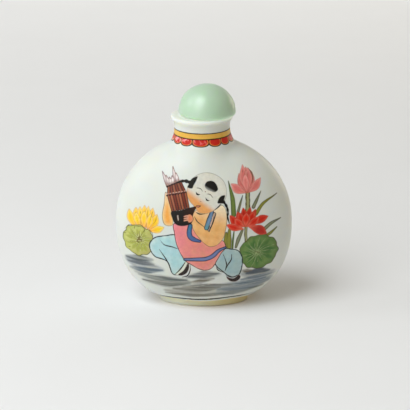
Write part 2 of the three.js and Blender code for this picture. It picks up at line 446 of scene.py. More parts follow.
class Patch:
    """One touch of enamel: an outline or a stroke, and how its colour runs.

    The colour goes from edge to core over fade millimetres inwards. Where tail is given, as (colour,
    start point, end point), it then turns into that colour from the one point to the other. A mottle,
    as (colour, share), drifts unevenly over it. A petal also has a spine, as (root, tip, width, bend), a
    heel, the colour at its root, and stripes, as (colour, count, share), that run from root to tip.
    """

    def __init__(self, edge, core=None, fade=1.0, tail=None, mottle=None, outline=None, stroke=None):
        self.edge = enamel(edge)
        self.core = enamel(core or edge)
        self.fade = fade
        self.tail = tail
        self.mottle = mottle
        self.outline = outline
        self.stroke = stroke
        self.spine = None
        self.heel = None
        self.stripes = None

    def measure(self, x, h):
        """Which places are within reach, and the signed distance and the colour at each of them."""
        if self.outline is None:
            shape, margin, distance_to = self.stroke, REACH + self.stroke[:, 2].max(), stroke_distance
        else:
            shape, margin, distance_to = self.outline, REACH, region_distance
        low, high = shape[:, :2].min(0) - margin, shape[:, :2].max(0) + margin
        near = np.flatnonzero((x > low[0]) & (x < high[0]) & (h > low[1]) & (h < high[1]))
        x, h = x[near], h[near]
        distance = distance_to(x, h, shape)
        colour = self.edge + (self.core - self.edge) * np.clip(-distance / self.fade, 0, 1)[:, None]
        if self.mottle is not None:
            code, share = self.mottle
            colour = toward(colour, code, share * wander(x, h))
        if self.tail is not None:
            code, start, end = self.tail
            run = np.subtract(end, start)
            share = ((x - start[0]) * run[0] + (h - start[1]) * run[1]) / (run @ run)
            colour = toward(colour, code, np.clip(share, 0, 1))
        if self.spine is not None:
            colour = self.along_spine(x, h, colour)
        return near, distance, colour

    def along_spine(self, x, h, colour):
        """Heel and stripes, from t along the spine and s across it as shares of the length and half width."""
        root, tip, width, bend = self.spine
        along = np.subtract(tip, root)
        length = np.hypot(*along)
        t = ((x - root[0]) * along[0] + (h - root[1]) * along[1]) / length**2
        bow = bend * np.sin(np.pi * np.clip(t, 0, 1))
        s = (((h - root[1]) * along[0] - (x - root[0]) * along[1]) / length - bow) / (width / 2)
        if self.stripes is not None:
            code, count, share = self.stripes
            stripe = np.clip(0.5 + 0.5 * np.cos(np.pi * count * s), 0, 1) ** 2 * np.clip(1.3 - t, 0, 1)
            colour = toward(colour, code, share * stripe)
        if self.heel is not None:
            colour = toward(colour, self.heel, np.clip(1 - t / 0.5, 0, 1))
        return colour


def area(edge, points, core=None, fade=1.0, tail=None, mottle=None):
    """A patch with a smooth outline through a few points."""
    return Patch(edge, core, fade, tail, mottle, outline=curve_through(points))


def brush(edge, points, widths, core=None, fade=1.0, tail=None):
    """A stroke through a few points, with its half width given at even shares of its length."""
    line = curve_through(points, closed=False)
    share = np.linspace(0, 1, len(line))
    half = np.interp(share, np.linspace(0, 1, len(widths)), widths)
    return Patch(edge, core, fade, tail, stroke=np.column_stack([line, half]))


def strokes(rows, spread=1.0, core=None, fade=1.0):
    """Brush strokes from rows of (colour, points, half widths), with each half width times spread."""
    return [brush(edge, points, np.multiply(widths, spread), core, fade) for edge, points, widths in rows]


def petal(edge, core, root, tip, width, bend=0.0, fade=0.7, heel=None, stripes=None):
    """One petal from its root to its tip."""
    patch = Patch(edge, core, fade, outline=petal_outline(root, tip, width, bend))
    patch.spine, patch.heel, patch.stripes = (root, tip, width, bend), heel, stripes
    return patch


# ---------------------------------------------------------------- the painting on the front


def wash():
    """Broad pale washes of grey and blue under the water's strokes."""
    rows = [
        ("93999b", [(-24.0, -10.6), (-19.5, -11.3), (-13.0, -12.2)], (0.6, 2.0, 0.4)),
        ("9da09a", [(-21.5, -14.6), (-14.0, -15.6), (-5.0, -15.6)], (0.3, 1.1, 0.4)),
        ("9a9d98", [(-19.0, -17.0), (-12.0, -17.1), (-4.5, -16.4)], (0.4, 1.0, 0.4)),
        ("99958a", [(-12.0, -19.8), (-3.0, -19.2), (7.0, -18.6)], (0.4, 1.7, 1.0)),
        ("8c9598", [(3.0, -18.8), (12.0, -18.2), (20.8, -16.8)], (1.2, 1.9, 0.7)),
        ("92979a", [(12.4, -13.6), (17.0, -14.6), (21.8, -14.8)], (0.6, 1.6, 0.6)),
        ("9a9c99", [(-5.0, -14.0), (0.5, -13.2), (5.0, -12.9)], (0.5, 1.1, 0.3)),
    ]
    return strokes(rows, WASH_SPREAD)


def water():
    """Level strokes under the boy, longer towards the middle."""
    rows = [
        ("5b6264", [(-24.4, -9.7), (-20.5, -9.2), (-16.0, -9.0)], (0.25, 0.75, 0.15)),
        ("686e73", [(-23.9, -11.2), (-19.5, -10.7), (-15.8, -10.6)], (0.2, 0.55, 0.15)),
        ("637079", [(-23.2, -13.4), (-18.2, -13.1), (-13.0, -12.3)], (0.2, 0.75, 0.15)),
        ("5f6663", [(-20.5, -15.3), (-13.0, -15.6), (-5.5, -15.2)], (0.15, 0.65, 0.2)),
        ("595b55", [(-19.2, -17.1), (-11.0, -17.1), (-4.0, -16.0)], (0.15, 0.75, 0.2)),
        ("726b5c", [(-4.6, -16.1), (-1.0, -15.5), (3.2, -14.6)], (0.15, 0.5, 0.1)),
        ("676b6d", [(-4.6, -13.9), (-0.2, -13.1), (4.6, -12.7)], (0.2, 0.75, 0.15)),
        ("6e665a", [(12.2, -12.3), (13.6, -12.6), (15.5, -12.7)], (0.15, 0.45, 0.2)),
        ("585f66", [(13.6, -13.4), (17.2, -13.3), (20.6, -13.6)], (0.3, 0.9, 0.2)),
        ("606d78", [(11.8, -15.6), (17.0, -15.2), (21.4, -15.0)], (0.15, 0.55, 0.15)),
        ("6f6d64", [(-9.5, -18.8), (-2.0, -18.6), (5.0, -18.0)], (0.2, 0.85, 0.3)),
        ("65645f", [(-6.5, -17.7), (1.0, -17.2), (9.0, -17.3)], (0.1, 0.4, 0.2)),
        ("556473", [(4.5, -18.9), (12.5, -18.6), (20.4, -17.4)], (0.3, 1.0, 0.4)),
        ("5b6c7a", [(9.0, -17.2), (14.5, -16.9), (19.5, -16.2)], (0.1, 0.45, 0.15)),
        ("565d5a", [(0.5, -20.6), (9.0, -20.3), (18.6, -19.0)], (0.2, 0.62, 0.25)),
        ("7c7a6f", [(-12.0, -20.9), (-4.0, -21.0), (6.0, -20.9)], (0.15, 0.5, 0.2)),
    ]
    return strokes(rows, WATER_SPREAD)


def glints():
    """Thin pale streaks between the water's strokes."""
    rows = [
        [(-22.5, -12.1), (-17.5, -11.9), (-12.5, -11.4)],
        [(-23.0, -14.3), (-17.0, -14.4), (-10.5, -14.1)],
        [(-18.5, -16.4), (-11.0, -16.4), (-5.0, -15.9)],
        [(-9.0, -17.9), (-3.0, -17.6), (3.0, -16.4)],
        [(1.2, -19.5), (3.8, -19.1), (8.0, -19.3)],
        [(5.0, -17.9), (11.0, -18.0), (18.0, -17.2)],
        [(13.5, -14.4), (17.0, -14.3), (21.0, -14.3)],
        [(-6.0, -20.1), (2.0, -20.0), (10.0, -19.7)],
    ]
    return [brush("c9c7b8", points, (0.05, 0.2, 0.05)) for points in rows]


def reeds():
    """Blades and stems behind the flowers on the right."""
    green, olive, grey = ("4f6a26", "6f8040"), ("6a6a22", "8f8c38"), ("5a5e42", "8a8c6e")
    stem, bark = ("8a8a5c", "a2a274"), ("44381e", "5a4a2c")
    rows = [
        (green, [(9.3, 6.5), (8.9, 11.5), (7.6, 16.7)], (0.75, 0.65, 0.08)),
        (grey, [(10.7, 7.5), (11.4, 10.0), (12.1, 12.2)], (0.4, 0.3, 0.08)),
        (grey, [(15.5, 8.4), (16.4, 10.2), (17.8, 12.8)], (0.55, 0.45, 0.08)),
        (olive, [(16.3, 6.2), (18.6, 9.1), (22.9, 11.1)], (0.6, 0.45, 0.08)),
        (grey, [(19.0, 1.0), (21.2, 2.5), (24.1, 3.4)], (0.6, 0.5, 0.12)),
        (olive, [(19.4, -1.4), (21.0, -0.6), (22.9, 0.8)], (0.5, 0.45, 0.15)),
        (olive, [(7.9, -4.0), (7.8, -1.5), (8.0, 1.8)], (0.6, 0.8, 0.4)),
        (green, [(8.9, -4.2), (9.1, -1.5), (9.4, 1.2)], (0.28, 0.25, 0.15)),
        (grey, [(10.0, -4.0), (10.8, -1.4), (12.0, 1.4)], (0.35, 0.6, 0.35)),
        (olive, [(6.9, -3.6), (6.8, -1.5), (7.0, 0.9)], (0.5, 0.6, 0.3)),
        (stem, [(13.3, -2.6), (13.1, 0.0), (13.2, 2.6)], (0.42, 0.38, 0.4)),
        (stem, [(13.6, 7.5), (13.7, 10.5), (13.6, 13.4)], (0.6, 0.5, 0.56, 0.46, 0.52)),
        (bark, [(13.0, -2.4), (12.8, 0.0), (12.9, 2.6)], (0.2, 0.12, 0.2, 0.12, 0.2)),
        (bark, [(13.1, 7.5), (13.2, 10.5), (13.1, 13.4)], (0.24, 0.1, 0.24, 0.1, 0.24, 0.1, 0.22)),
        (bark, [(14.2, 7.5), (14.2, 10.5), (14.1, 13.4)], (0.1, 0.22, 0.1, 0.22, 0.1, 0.22, 0.1)),
    ]
    return [brush(edge, points, widths, core, 0.45) for (edge, core), points, widths in rows]


YOUNG_LEAF = Leaf((-20.5, -3.1), 4.9, 5.0, (-20.1, -2.8))
FULL_LEAF = Leaf((17.2, -6.4), 6.1, 5.7, (16.7, -6.4))
BACK_LEAF = Leaf((-9.0, -8.0), 6.4, 4.4, (-9.0, -8.0))


def full_leaf():
    """The full leaf on the right."""
    outline = leaf_outline(FULL_LEAF, 9, 0.03, 0.8)
    return [Patch("5f7238", "76924f", 1.3, mottle=("5f8544", 0.8), outline=outline)]


def young_leaf():
    """The young leaf on the left, over the foot of the yellow flower."""
    outline = leaf_outline(YOUNG_LEAF, 8, 0.035, 0.6)
    tail = ("b0a968", (-21.0, -1.0), (-15.5, -4.5))
    return [Patch("a9ad5a", "c3c67c", tail=tail, mottle=("b7bb5c", 0.8), outline=outline)]


def leaf_wedges(leaf, count, start, edge, core):
    """Darker wedges between a leaf's ribs, from its hub to its rim, each with stripes of its own."""
    wedges = []
    for i in range(count):
        angle = start + 2 * math.pi * i / count + 0.12 * math.sin(5 * i)
        tip = leaf_point(leaf, angle, 0.84 + 0.13 * math.sin(3 * i + 1))
        width = 3.9 * math.dist(tip, leaf.hub) / count
        bend = 0.25 * math.sin(2 * i)
        wedges.append(petal(edge, core, leaf.hub, tip, width, bend, 0.55, stripes=(edge, 2.0, 0.6)))
    return wedges


def full_shade():
    """The darker wedges of the full leaf."""
    return leaf_wedges(FULL_LEAF, 15, 0.1, "4f7a3a", "36632f")


def young_shade():
    """The darker wedges of the young leaf."""
    return leaf_wedges(YOUNG_LEAF, 13, 0.2, "acb058", "989e42")


def leaf_ribs(colour, hub, reach, count, start, width):
    """Ribs fanning from a leaf's hub, each bowed a little and of its own length."""
    fan = Leaf(hub, *reach, hub)
    ribs = []
    for i in range(count):
        angle = start + 2 * math.pi * i / count
        share = 0.72 + 0.2 * math.sin(4 * i + 1)
        line = [hub, leaf_point(fan, angle + 0.12, share / 2), leaf_point(fan, angle, share)]
        ribs.append(brush(colour, line, (width, width * 0.7, width * 0.3)))
    return ribs


def full_ribs():
    """Fine pale and dark ribs of the full leaf."""
    marks = leaf_ribs("a3b27c", FULL_LEAF.hub, (7.0, 6.4), 17, 0.3, 0.13)
    marks += leaf_ribs("405228", FULL_LEAF.hub, (5.4, 5.0), 13, 0.9, 0.09)
    marks.append(brush("5f5a32", [(16.0, -6.2), (16.8, -6.4), (17.6, -6.5)], (0.1, 0.3, 0.1)))
    return marks


def young_ribs():
    """Fine ribs of the young leaf, and the inked lobes along its top."""
    marks = leaf_ribs("cdcf98", YOUNG_LEAF.hub, (5.6, 5.6), 15, 0.1, 0.11)
    marks += leaf_ribs("6f6c30", YOUNG_LEAF.hub, (5.0, 5.0), 16, 0.35, 0.11)
    lobes = [
        [(-24.9, -0.4), (-23.6, 1.2), (-21.9, 1.7)],
        [(-21.9, 1.6), (-21.7, 0.4)],
        [(-21.6, 1.2), (-20.2, 1.6), (-18.5, 1.5)],
        [(-18.4, 1.4), (-18.7, -0.1)],
        [(-18.1, 0.9), (-17.0, 0.9), (-16.1, 0.0), (-15.9, -1.3)],
        [(-25.4, -2.0), (-24.5, -1.6)],
        [(-23.9, -6.1), (-22.9, -5.8)],
    ]
    marks += [brush("5e5a34", points, (0.06, 0.12, 0.06)) for points in lobes]
    marks.append(brush("75653a", [(-20.9, -3.6), (-20.2, -2.5), (-19.4, -3.2)], (0.15, 0.42, 0.15)))
    return marks


PINK_ROOT = (13.5, 12.7)
RED_ROOT = (13.0, 2.3)
GOLD = {"heel": "f0a23a", "stripes": ("ee9c35", 3.0, 0.55)}
ROSE = {"heel": "d68078", "stripes": ("c96a64", 3.0, 0.5)}
SCARLET = {"heel": "dd6a50", "stripes": ("9a0e04", 3.0, 0.5)}


def flower(rows):
    """Petals from rows of (edge and core, root, tip, width, bend, heel and stripes)."""
    return [petal(*tones, *shape, **marks) for tones, *shape, marks in rows]


def petals_back():
    """Hindmost petals of the yellow, pink and red lotus flowers."""
    gold, pink, scarlet = ("f2cf84", "f5c62c"), ("dc9a92", "d0726b"), ("c94a34", "bd2008")
    return flower([
        (gold, (-20.2, 0.6), (-21.2, 7.5), 2.4, 0.3, GOLD),
        (gold, (-18.8, 0.6), (-18.4, 8.6), 2.3, 0.0, GOLD),
        (gold, (-17.8, 0.6), (-15.8, 8.1), 2.4, -0.2, GOLD),
        (pink, PINK_ROOT, (13.0, 20.2), 2.2, 0.0, ROSE),
        (pink, PINK_ROOT, (14.5, 18.9), 2.4, -0.6, ROSE),
        (pink, PINK_ROOT, (11.0, 18.6), 2.2, 0.5, ROSE),
        (scarlet, RED_ROOT, (10.4, 7.5), 2.3, 0.4, SCARLET),
        (scarlet, RED_ROOT, (12.2, 8.6), 2.0, 0.0, SCARLET),
        (scarlet, RED_ROOT, (14.5, 8.5), 2.0, 0.0, SCARLET),
        (scarlet, RED_ROOT, (16.2, 7.7), 2.1, -0.3, SCARLET),
    ])


def petals_middle():
    """Petals between the hindmost and the nearest."""
    gold, pink, scarlet = ("f4d48a", "f6ca22"), ("e2a299", "d67a73"), ("d35842", "ce280a")
    return flower([
        (gold, (-20.9, 0.4), (-23.4, 6.5), 2.5, 0.6, GOLD),
        (gold, (-19.3, 0.6), (-19.9, 8.0), 2.0, 0.2, GOLD),
        (gold, (-18.3, 0.6), (-17.2, 8.5), 2.0, -0.1, GOLD),
        (gold, (-17.4, 0.6), (-14.5, 6.3), 2.5, -0.5, GOLD),
        (pink, PINK_ROOT, (12.0, 20.9), 2.3, 0.3, ROSE),
        (pink, PINK_ROOT, (13.7, 19.9), 2.2, -0.3, ROSE),
        (pink, PINK_ROOT, (8.4, 15.9), 2.4, 0.45, ROSE),
        (pink, PINK_ROOT, (17.8, 16.6), 2.4, -0.5, ROSE),
        (scarlet, RED_ROOT, (8.0, 6.5), 2.5, 0.7, SCARLET),
        (scarlet, RED_ROOT, (10.9, 7.2), 2.3, 0.3, SCARLET),
        (scarlet, RED_ROOT, (15.7, 7.0), 2.5, -0.3, SCARLET),
        (scarlet, (14.6, 2.9), (20.2, 4.9), 2.6, 0.2, SCARLET),
    ])


def petals_near():
    """Nearest petals, which fold down and outwards."""
    gold, pink, scarlet = ("f6d88a", "f9cf1c"), ("e9aca4", "dc857e"), ("dc6a54", "d82e10")
    return flower([
        (gold, (-18.7, 0.6), (-18.5, 6.8), 2.0, 0.1, GOLD),
        (gold, (-19.8, 0.6), (-21.2, 6.0), 2.0, 0.3, GOLD),
        (gold, (-17.8, 0.6), (-16.5, 6.2), 2.0, -0.2, GOLD),
        (gold, (-17.6, 0.5), (-12.3, 2.3), 2.3, -0.2, GOLD),
        (pink, PINK_ROOT, (12.8, 18.2), 2.0, 0.1, ROSE),
        (scarlet, (12.9, 1.7), (6.9, 3.5), 2.2, 0.3, SCARLET),
        (scarlet, RED_ROOT, (13.3, 6.8), 2.4, 0.0, SCARLET),
        (scarlet, RED_ROOT, (9.6, 5.2), 2.2, 0.4, SCARLET),
        (scarlet, RED_ROOT, (17.3, 5.2), 2.3, -0.3, SCARLET),
        (("d0503e", "bb2a1c"), (13.6, 2.4), (19.8, -0.8), 2.9, 0.5, SCARLET),
    ])


def trousers():
    """Both trouser legs."""
    near_leg = [
        (-8.6, 0.0), (-12.0, -0.4), (-15.2, -1.3), (-16.9, -3.4), (-16.7, -5.6), (-15.2, -7.7), (-11.8, -8.7),
        (-10.7, -10.6), (-10.0, -12.8), (-8.8, -13.5), (-7.6, -12.3), (-5.4, -8.6), (-6.2, -3.5),
    ]
    far_leg = [
        (5.6, -4.4), (8.4, -4.5), (10.8, -5.3), (12.0, -7.6), (11.9, -11.0), (11.0, -13.7), (9.2, -14.3),
        (7.4, -13.5), (6.2, -12.3), (4.4, -10.6), (3.6, -9.0), (4.6, -6.4),
    ]
    return [
        area("cfdcd6", near_leg, "b5d3d3", 1.6, mottle=("a2cbd0", 0.75)),
        area("b9c7c2", far_leg, "a9bfbe", 1.6, mottle=("9ab6ba", 0.7)),
    ]


def socks():
    """White socks between the trousers and the shoes."""
    near_foot = [
        (-9.0, -13.3), (-7.4, -11.6), (-5.9, -8.9), (-4.9, -8.6), (-4.8, -10.0), (-5.6, -12.2), (-7.2, -13.5),
    ]
    far_foot = [
        (6.9, -12.9), (7.8, -14.1), (9.4, -14.5), (10.8, -13.8), (10.9, -14.6), (9.4, -15.4), (7.6, -14.9),
    ]
    return [area("d6dad0", near_foot), area("c3cbc8", far_foot)]


def tunic():
    """The pink apron-like tunic, and the black shoes beside it."""
    body = [
        (-9.2, 3.8), (-9.1, 0.5), (-8.5, -2.8), (-7.3, -5.8), (-5.8, -8.3), (-3.8, -9.7), (-0.9, -11.3),
        (1.3, -11.4), (2.9, -10.3), (4.2, -8.0), (5.4, -5.8), (6.8, -4.0), (6.5, -2.4), (5.2, -1.2),
        (1.0, 1.0), (-4.5, 4.2),
    ]
    near_shoe = [
        (-4.9, -9.2), (-4.7, -10.6), (-5.4, -12.5), (-6.9, -13.5), (-7.9, -13.3), (-6.4, -12.0),
        (-5.5, -10.4),
    ]
    far_shoe = [
        (7.2, -14.2), (8.2, -15.6), (9.8, -16.0), (11.1, -15.3), (11.4, -14.2), (10.8, -13.9), (9.6, -14.9),
        (8.2, -14.7),
    ]
    return [
        area("e39c96", body, "e08b86", 1.2, ("e8889a", (-3.0, 0.0), (-12.0, 1.0)), ("df9c80", 0.6)),
        area("2a241f", near_shoe),
        area("2a2420", far_shoe),
    ]


def sleeves():
    """The ochre sleeves: the far one behind the pipes, and the near arm bent across the chest."""
    far_arm = [
        (-11.9, 13.2), (-12.3, 9.8), (-12.9, 6.2), (-12.4, 3.5), (-10.8, 2.9), (-9.6, 3.7), (-9.9, 7.0),
        (-10.9, 11.4),
    ]
    near_arm = [
        (-3.8, 6.4), (-2.2, 8.2), (1.6, 8.4), (3.6, 8.7), (5.6, 9.6), (6.8, 8.2), (7.2, 5.2), (6.8, 1.8),
        (6.0, -0.9), (4.2, -2.9), (1.9, -3.5), (0.0, -2.2), (-1.7, -0.3), (-3.0, 1.6), (-3.9, 4.2),
    ]
    return [
        area("e8c790", far_arm, "eba549", 1.3, ("eacda8", (-11.5, 9.0), (-11.5, 13.0))),
        area("e4be86", near_arm, "e6b87a", 1.4, ("eedcc0", (3.5, 4.0), (5.0, 9.0)), ("dd9a52", 0.55)),
    ]


def trims():
    """Blue bindings of the tunic at the neck, the shoulder and the hem, and the pale fold beside one."""
    fold = [(3.3, 7.0), (2.6, 4.7), (1.5, 1.8)]
    collar = [(-4.2, 3.3), (-4.5, 1.3), (-4.2, -0.3), (-2.9, -1.2), (-1.2, -1.7)]
    collar_tail = ("5566a0", (-4.3, 3.2), (-4.3, -2.6))
    shoulder = [(2.6, 7.8), (1.8, 5.4), (0.8, 2.6)]
    shoulder_tail = ("5f969e", (1.4, 4.4), (0.8, 2.6))
    hem = [(-5.9, -7.9), (-2.5, -7.8), (0.6, -7.6), (2.8, -6.6), (4.6, -4.9), (6.7, -3.9)]
    return [
        brush("cdb09a", fold, (0.45, 0.4, 0.2)),
        brush("264a78", collar, (0.62, 0.72, 0.72, 0.35), "3f7f9c", 0.55, collar_tail),
        brush("55708f", shoulder, (0.45, 0.72, 0.6), "7694b4", 0.6, shoulder_tail),
        brush("4f6390", hem, (0.4, 0.62, 0.62, 0.3), "7c8cb6", 0.6),
    ]


# The face has a plain plan of its own, on its own level and plumb lines: the eyes on its middle line, one
# eye's width apart, the nose and the lips at even steps below them, all turned towards the instrument.
FACE_MIDDLE = np.array([-0.3, 12.4])
FACE_UP = np.array([0.5, 0.866])
FACE_RIGHT = np.array([0.866, -0.5])


def on_face(across, up):
    """A point on the face from its own level and plumb lines, in millimetres."""
    return tuple(FACE_MIDDLE + across * FACE_RIGHT + up * FACE_UP)


def head():
    """The shaven head, turned down to the instrument: pale at the crown and flushed at the jaw."""
    outline = [
        (0.8, 19.3), (3.7, 18.6), (6.0, 16.9), (7.0, 14.5), (6.8, 11.8), (5.2, 9.6), (2.9, 8.0), (0.6, 7.1),
        (-1.5, 7.6), (-2.9, 9.3), (-4.6, 11.3), (-5.3, 13.6), (-4.4, 16.4), (-2.2, 18.5),
    ]
    return [area("d3d0c4", outline, "d6d4ca", 1.0, ("dfa262", on_face(0.1, -0.6), on_face(-0.1, -2.3)))]


def spaced(count, start, run):
    """Places evenly along a straight line that begins at start and ends run further on."""
    return [tuple(place) for place in np.add(start, np.outer(np.linspace(0, 1, count), run))]


def pipes():
    """The mouth organ's bamboo pipes, in two tiers."""
    tiers = (
        (spaced(7, (-9.7, 7.7), (4.9, 1.3)), spaced(7, (-10.95, 12.3), (5.2, 1.1)), (0.36, 0.44), 0.4,
         (("461005", "a85c3a"), ("56180e", "bb724c"), ("3e0d04", "8c3c24"))),
        (spaced(6, (-10.9, 12.9), (4.9, 0.9)), spaced(6, (-10.9, 15.0), (3.6, 1.5)), (0.46, 0.36), 0.38,
         (("54190c", "a86240"), ("430e06", "8a4026"))),
    )
    bundle = []
    for feet, tops, widths, fade, tones in tiers:
        for i, ends in enumerate(zip(feet, tops)):
            edge, core = tones[i % len(tones)]
            bundle.append(brush(edge, ends, widths, core, fade))
    return bundle


def tips():
    """The pale sharp tips above the pipes, dark at their feet."""
    feet = [(-11.1, 15.0), (-10.6, 15.3), (-10.0, 15.6), (-9.4, 15.9), (-8.7, 16.2), (-8.1, 16.5)]
    points = [(-12.9, 19.0), (-11.7, 18.0), (-10.7, 17.6), (-9.9, 18.0), (-9.6, 20.6), (-8.6, 18.9)]
    spikes = []
    for foot, (x, h) in zip(feet, points):
        tail = ("7a4e46", (x, h - 1.5), foot)
        spikes.append(brush("a88c88", [foot, (x, h)], (0.56, 0.5, 0.1), "ece4e2", 0.34, tail))
    return spikes


def bindings():
    """Cords round the pipes: a knotted one between the tiers and one under the tips."""
    knots = []
    for x, h in spaced(7, (-11.2, 12.35), (5.4, 1.15)):
        knots.append(brush("2c0d08", [(x - 0.32, h - 0.18), (x + 0.3, h + 0.1)], (0.26, 0.14)))
        knots.append(brush("d0a692", [(x - 0.2, h + 0.38), (x + 0.2, h + 0.48)], (0.15, 0.12)))
    for x, h in spaced(6, (-11.2, 14.9), (3.9, 1.65)):
        knots.append(brush("2c0f0a", [(x - 0.3, h - 0.1), (x + 0.3, h + 0.12)], (0.24, 0.16)))
        knots.append(brush("c4a294", [(x - 0.2, h + 0.4), (x + 0.2, h + 0.5)], (0.14, 0.1)))
    return knots


def lacquer():
    """Black things: the mouth organ's bowl and spout, and the boy's hair and plaits."""
    bowl = [
        (-10.1, 7.5), (-7.2, 8.0), (-4.6, 8.9), (-2.4, 9.3), (-2.9, 7.8), (-3.5, 6.0), (-3.7, 4.2),
        (-5.2, 3.4), (-7.2, 3.1), (-8.9, 3.7), (-9.8, 5.4),
    ]
    forelock = [
        (0.3, 15.6), (1.0, 16.7), (2.6, 16.9), (3.9, 15.9), (4.4, 14.4), (3.4, 13.6), (2.0, 14.0),
        (0.8, 14.6),
    ]
    near_tuft = [
        (-1.9, 18.2), (-3.0, 17.9), (-4.0, 17.2), (-4.4, 16.2), (-5.1, 15.1), (-4.3, 14.7), (-3.5, 14.8),
        (-3.1, 15.7), (-2.4, 16.9),
    ]
    far_tuft = [
        (6.6, 12.5), (5.6, 12.5), (4.8, 11.9), (4.4, 11.1), (4.3, 10.3), (5.1, 10.2), (6.1, 10.3),
        (6.3, 11.3),
    ]
    near_plait = [(-4.2, 16.4), (-5.4, 16.75), (-6.6, 16.75), (-8.0, 16.3)]
    far_plait = [(6.2, 10.6), (7.1, 9.2), (7.5, 7.4), (7.4, 5.8), (8.0, 3.8)]
    ink = "15110d"
    return [
        area(ink, bowl, tail=("3a1d12", (-6.0, 5.0), (-1.5, 7.5))),
        area(ink, forelock, tail=("d2d2c8", (1.9, 14.9), (1.2, 13.6))),
        area(ink, near_tuft),
        area(ink, far_tuft),
        brush(ink, near_plait, (0.6, 0.4, 0.56, 0.3, 0.46, 0.24, 0.26)),
        brush(ink, far_plait, (0.5, 0.26, 0.46, 0.26, 0.42, 0.24, 0.36, 0.22, 0.3, 0.18, 0.16)),
    ]


def flesh():
    """The near hand with its fingers round the bowl, the lips and the light on the bowl."""
    palm = [(-4.9, 6.7), (-4.1, 6.9), (-3.4, 6.1), (-3.3, 5.2), (-3.8, 4.5), (-4.7, 4.3), (-5.1, 5.2)]
    hand = [area("d99c78", palm, "dd8e62", 0.7)]
    for h in (6.35, 5.7, 5.05):
        finger = [(-4.3, h - 0.1), (-5.3, h), (-6.1, h - 0.25)]
        hand.append(brush("c98a72", finger, (0.36, 0.33, 0.24), "e0ac90", 0.3))
    hand.append(brush("b9b4ad", [(-8.1, 6.3), (-7.9, 4.8)], (0.26, 0.3, 0.18)))
    hand.append(brush("c9705f", [(-2.2, 9.5), (-1.7, 9.35), (-1.1, 9.5)], (0.16, 0.28, 0.12)))
    return hand


def face_lines():
    """Brows, lowered eyelids, nose, chin and the mark between the brows, as fine strokes."""
    dark, soft = "1a1512", "4e493c"
    rows = []
    for eye, half in ((-1.75, 0.75), (1.75, 0.8)):
        rows += [
            (dark, [(eye - half, 0.05), (eye, -0.3), (eye + half, 0.05)], (0.09, 0.19, 0.09)),
            (dark, [(eye - 0.25, -0.3), (eye + 0.3, -0.3)], (0.25, 0.2)),
            (soft, [(eye - half - 0.35, 1.25), (eye, 1.6), (eye + half + 0.35, 1.2)], (0.08, 0.16, 0.08)),
        ]
    rows += [
        (soft, [(-0.15, -1.5), (0.1, -1.75), (0.45, -1.6)], (0.05, 0.1, 0.05)),
        ("a38a62", [(-2.4, -3.0), (-1.0, -3.4), (0.6, -3.3)], (0.04, 0.08, 0.04)),
        ("7a2a20", [(0.0, 1.6), (0.08, 1.6)], (0.14, 0.14)),
    ]
    return strokes([(colour, [on_face(*point) for point in line], widths) for colour, line, widths in rows])


def fold_lines():
    """Folds of the clothes, drawn with the same fine brush as the outlines."""
    folds = [
        [(-13.6, -2.0), (-12.3, -3.4), (-9.8, -3.9), (-8.0, -4.5)],
        [(-13.9, -5.1), (-12.2, -7.6), (-11.1, -9.6), (-10.3, -12.2)],
        [(-8.7, -13.0), (-7.4, -11.4), (-5.8, -8.9)],
        [(6.0, -6.0), (6.8, -8.2), (7.1, -9.9), (6.6, -12.0)],
        [(8.7, -6.3), (8.6, -8.0), (7.5, -9.9), (6.8, -11.6)],
        [(6.8, -12.7), (7.9, -14.0), (9.4, -14.3), (10.7, -13.6)],
        [(-2.9, 6.2), (-2.1, 4.8), (-1.1, 3.9), (0.3, 2.8)],
        [(3.3, 6.9), (2.9, 4.6), (1.6, 1.2)],
        [(3.3, 8.2), (4.6, 9.2), (5.2, 10.0)],
        [(-4.2, -9.7), (-4.3, -11.8), (-5.2, -13.6), (-6.8, -14.2)],
        [(-2.5, 7.6), (-1.2, 7.0), (0.4, 7.1)],
        [(3.9, -9.9), (4.4, -11.4), (6.2, -12.5)],
    ]
    lines = [brush("332d28", points, (0.1, 0.2, 0.1)) for points in folds]
    lines.append(brush("8a4a38", [(-4.2, 6.05), (-5.4, 6.05)], (0.07, 0.05)))
    lines.append(brush("8a4a38", [(-4.2, 5.4), (-5.5, 5.35)], (0.07, 0.05)))
    return lines


def flower_lines():
    """Thin broken lines along a few petals of the pink and yellow flowers."""
    pink = [
        [(10.8, 18.6), (10.6, 16.6), (11.1, 14.9)],
        [(14.1, 19.4), (15.0, 17.4), (15.0, 15.4)],
        [(12.9, 19.4), (12.7, 17.8)],
        [(13.4, 18.9), (13.6, 17.2)],
        [(12.0, 19.6), (12.1, 18.4)],
    ]
    yellow = [
        [(-21.6, 6.4), (-21.0, 4.2), (-20.2, 2.4)],
        [(-19.8, 7.0), (-19.7, 4.8)],
        [(-17.4, 7.6), (-17.7, 5.2), (-18.0, 3.0)],
        [(-15.9, 6.9), (-16.5, 4.8), (-17.1, 3.0)],
        [(-14.5, 5.9), (-15.0, 4.2), (-16.0, 2.6)],
    ]
    fold = [(13.8, 19.7), (15.0, 18.2), (15.3, 16.6), (15.1, 15.4)]
    lines = [brush("80604c", fold, (0.06, 0.2, 0.16, 0.05))]
    lines += [brush("a8604e", points, (0.05, 0.11, 0.04)) for points in pink]
    return lines + [brush("a87a34", points, (0.05, 0.1, 0.04)) for points in yellow]


def brushwork():
    """All of the finest strokes."""
    return young_ribs() + face_lines() + fold_lines() + flower_lines()


# ---------------------------------------------------------------- the plainer painting on the back


def back_wash():
    """Two pale washes under the spray."""
    return strokes([
        ("93999b", [(-16.0, -14.6), (-3.0, -14.6), (9.0, -14.2)], (0.4, 1.4, 0.4)),
        ("8c9598", [(-11.0, -18.4), (1.0, -18.0), (14.0, -17.0)], (0.4, 1.8, 0.5)),
    ])


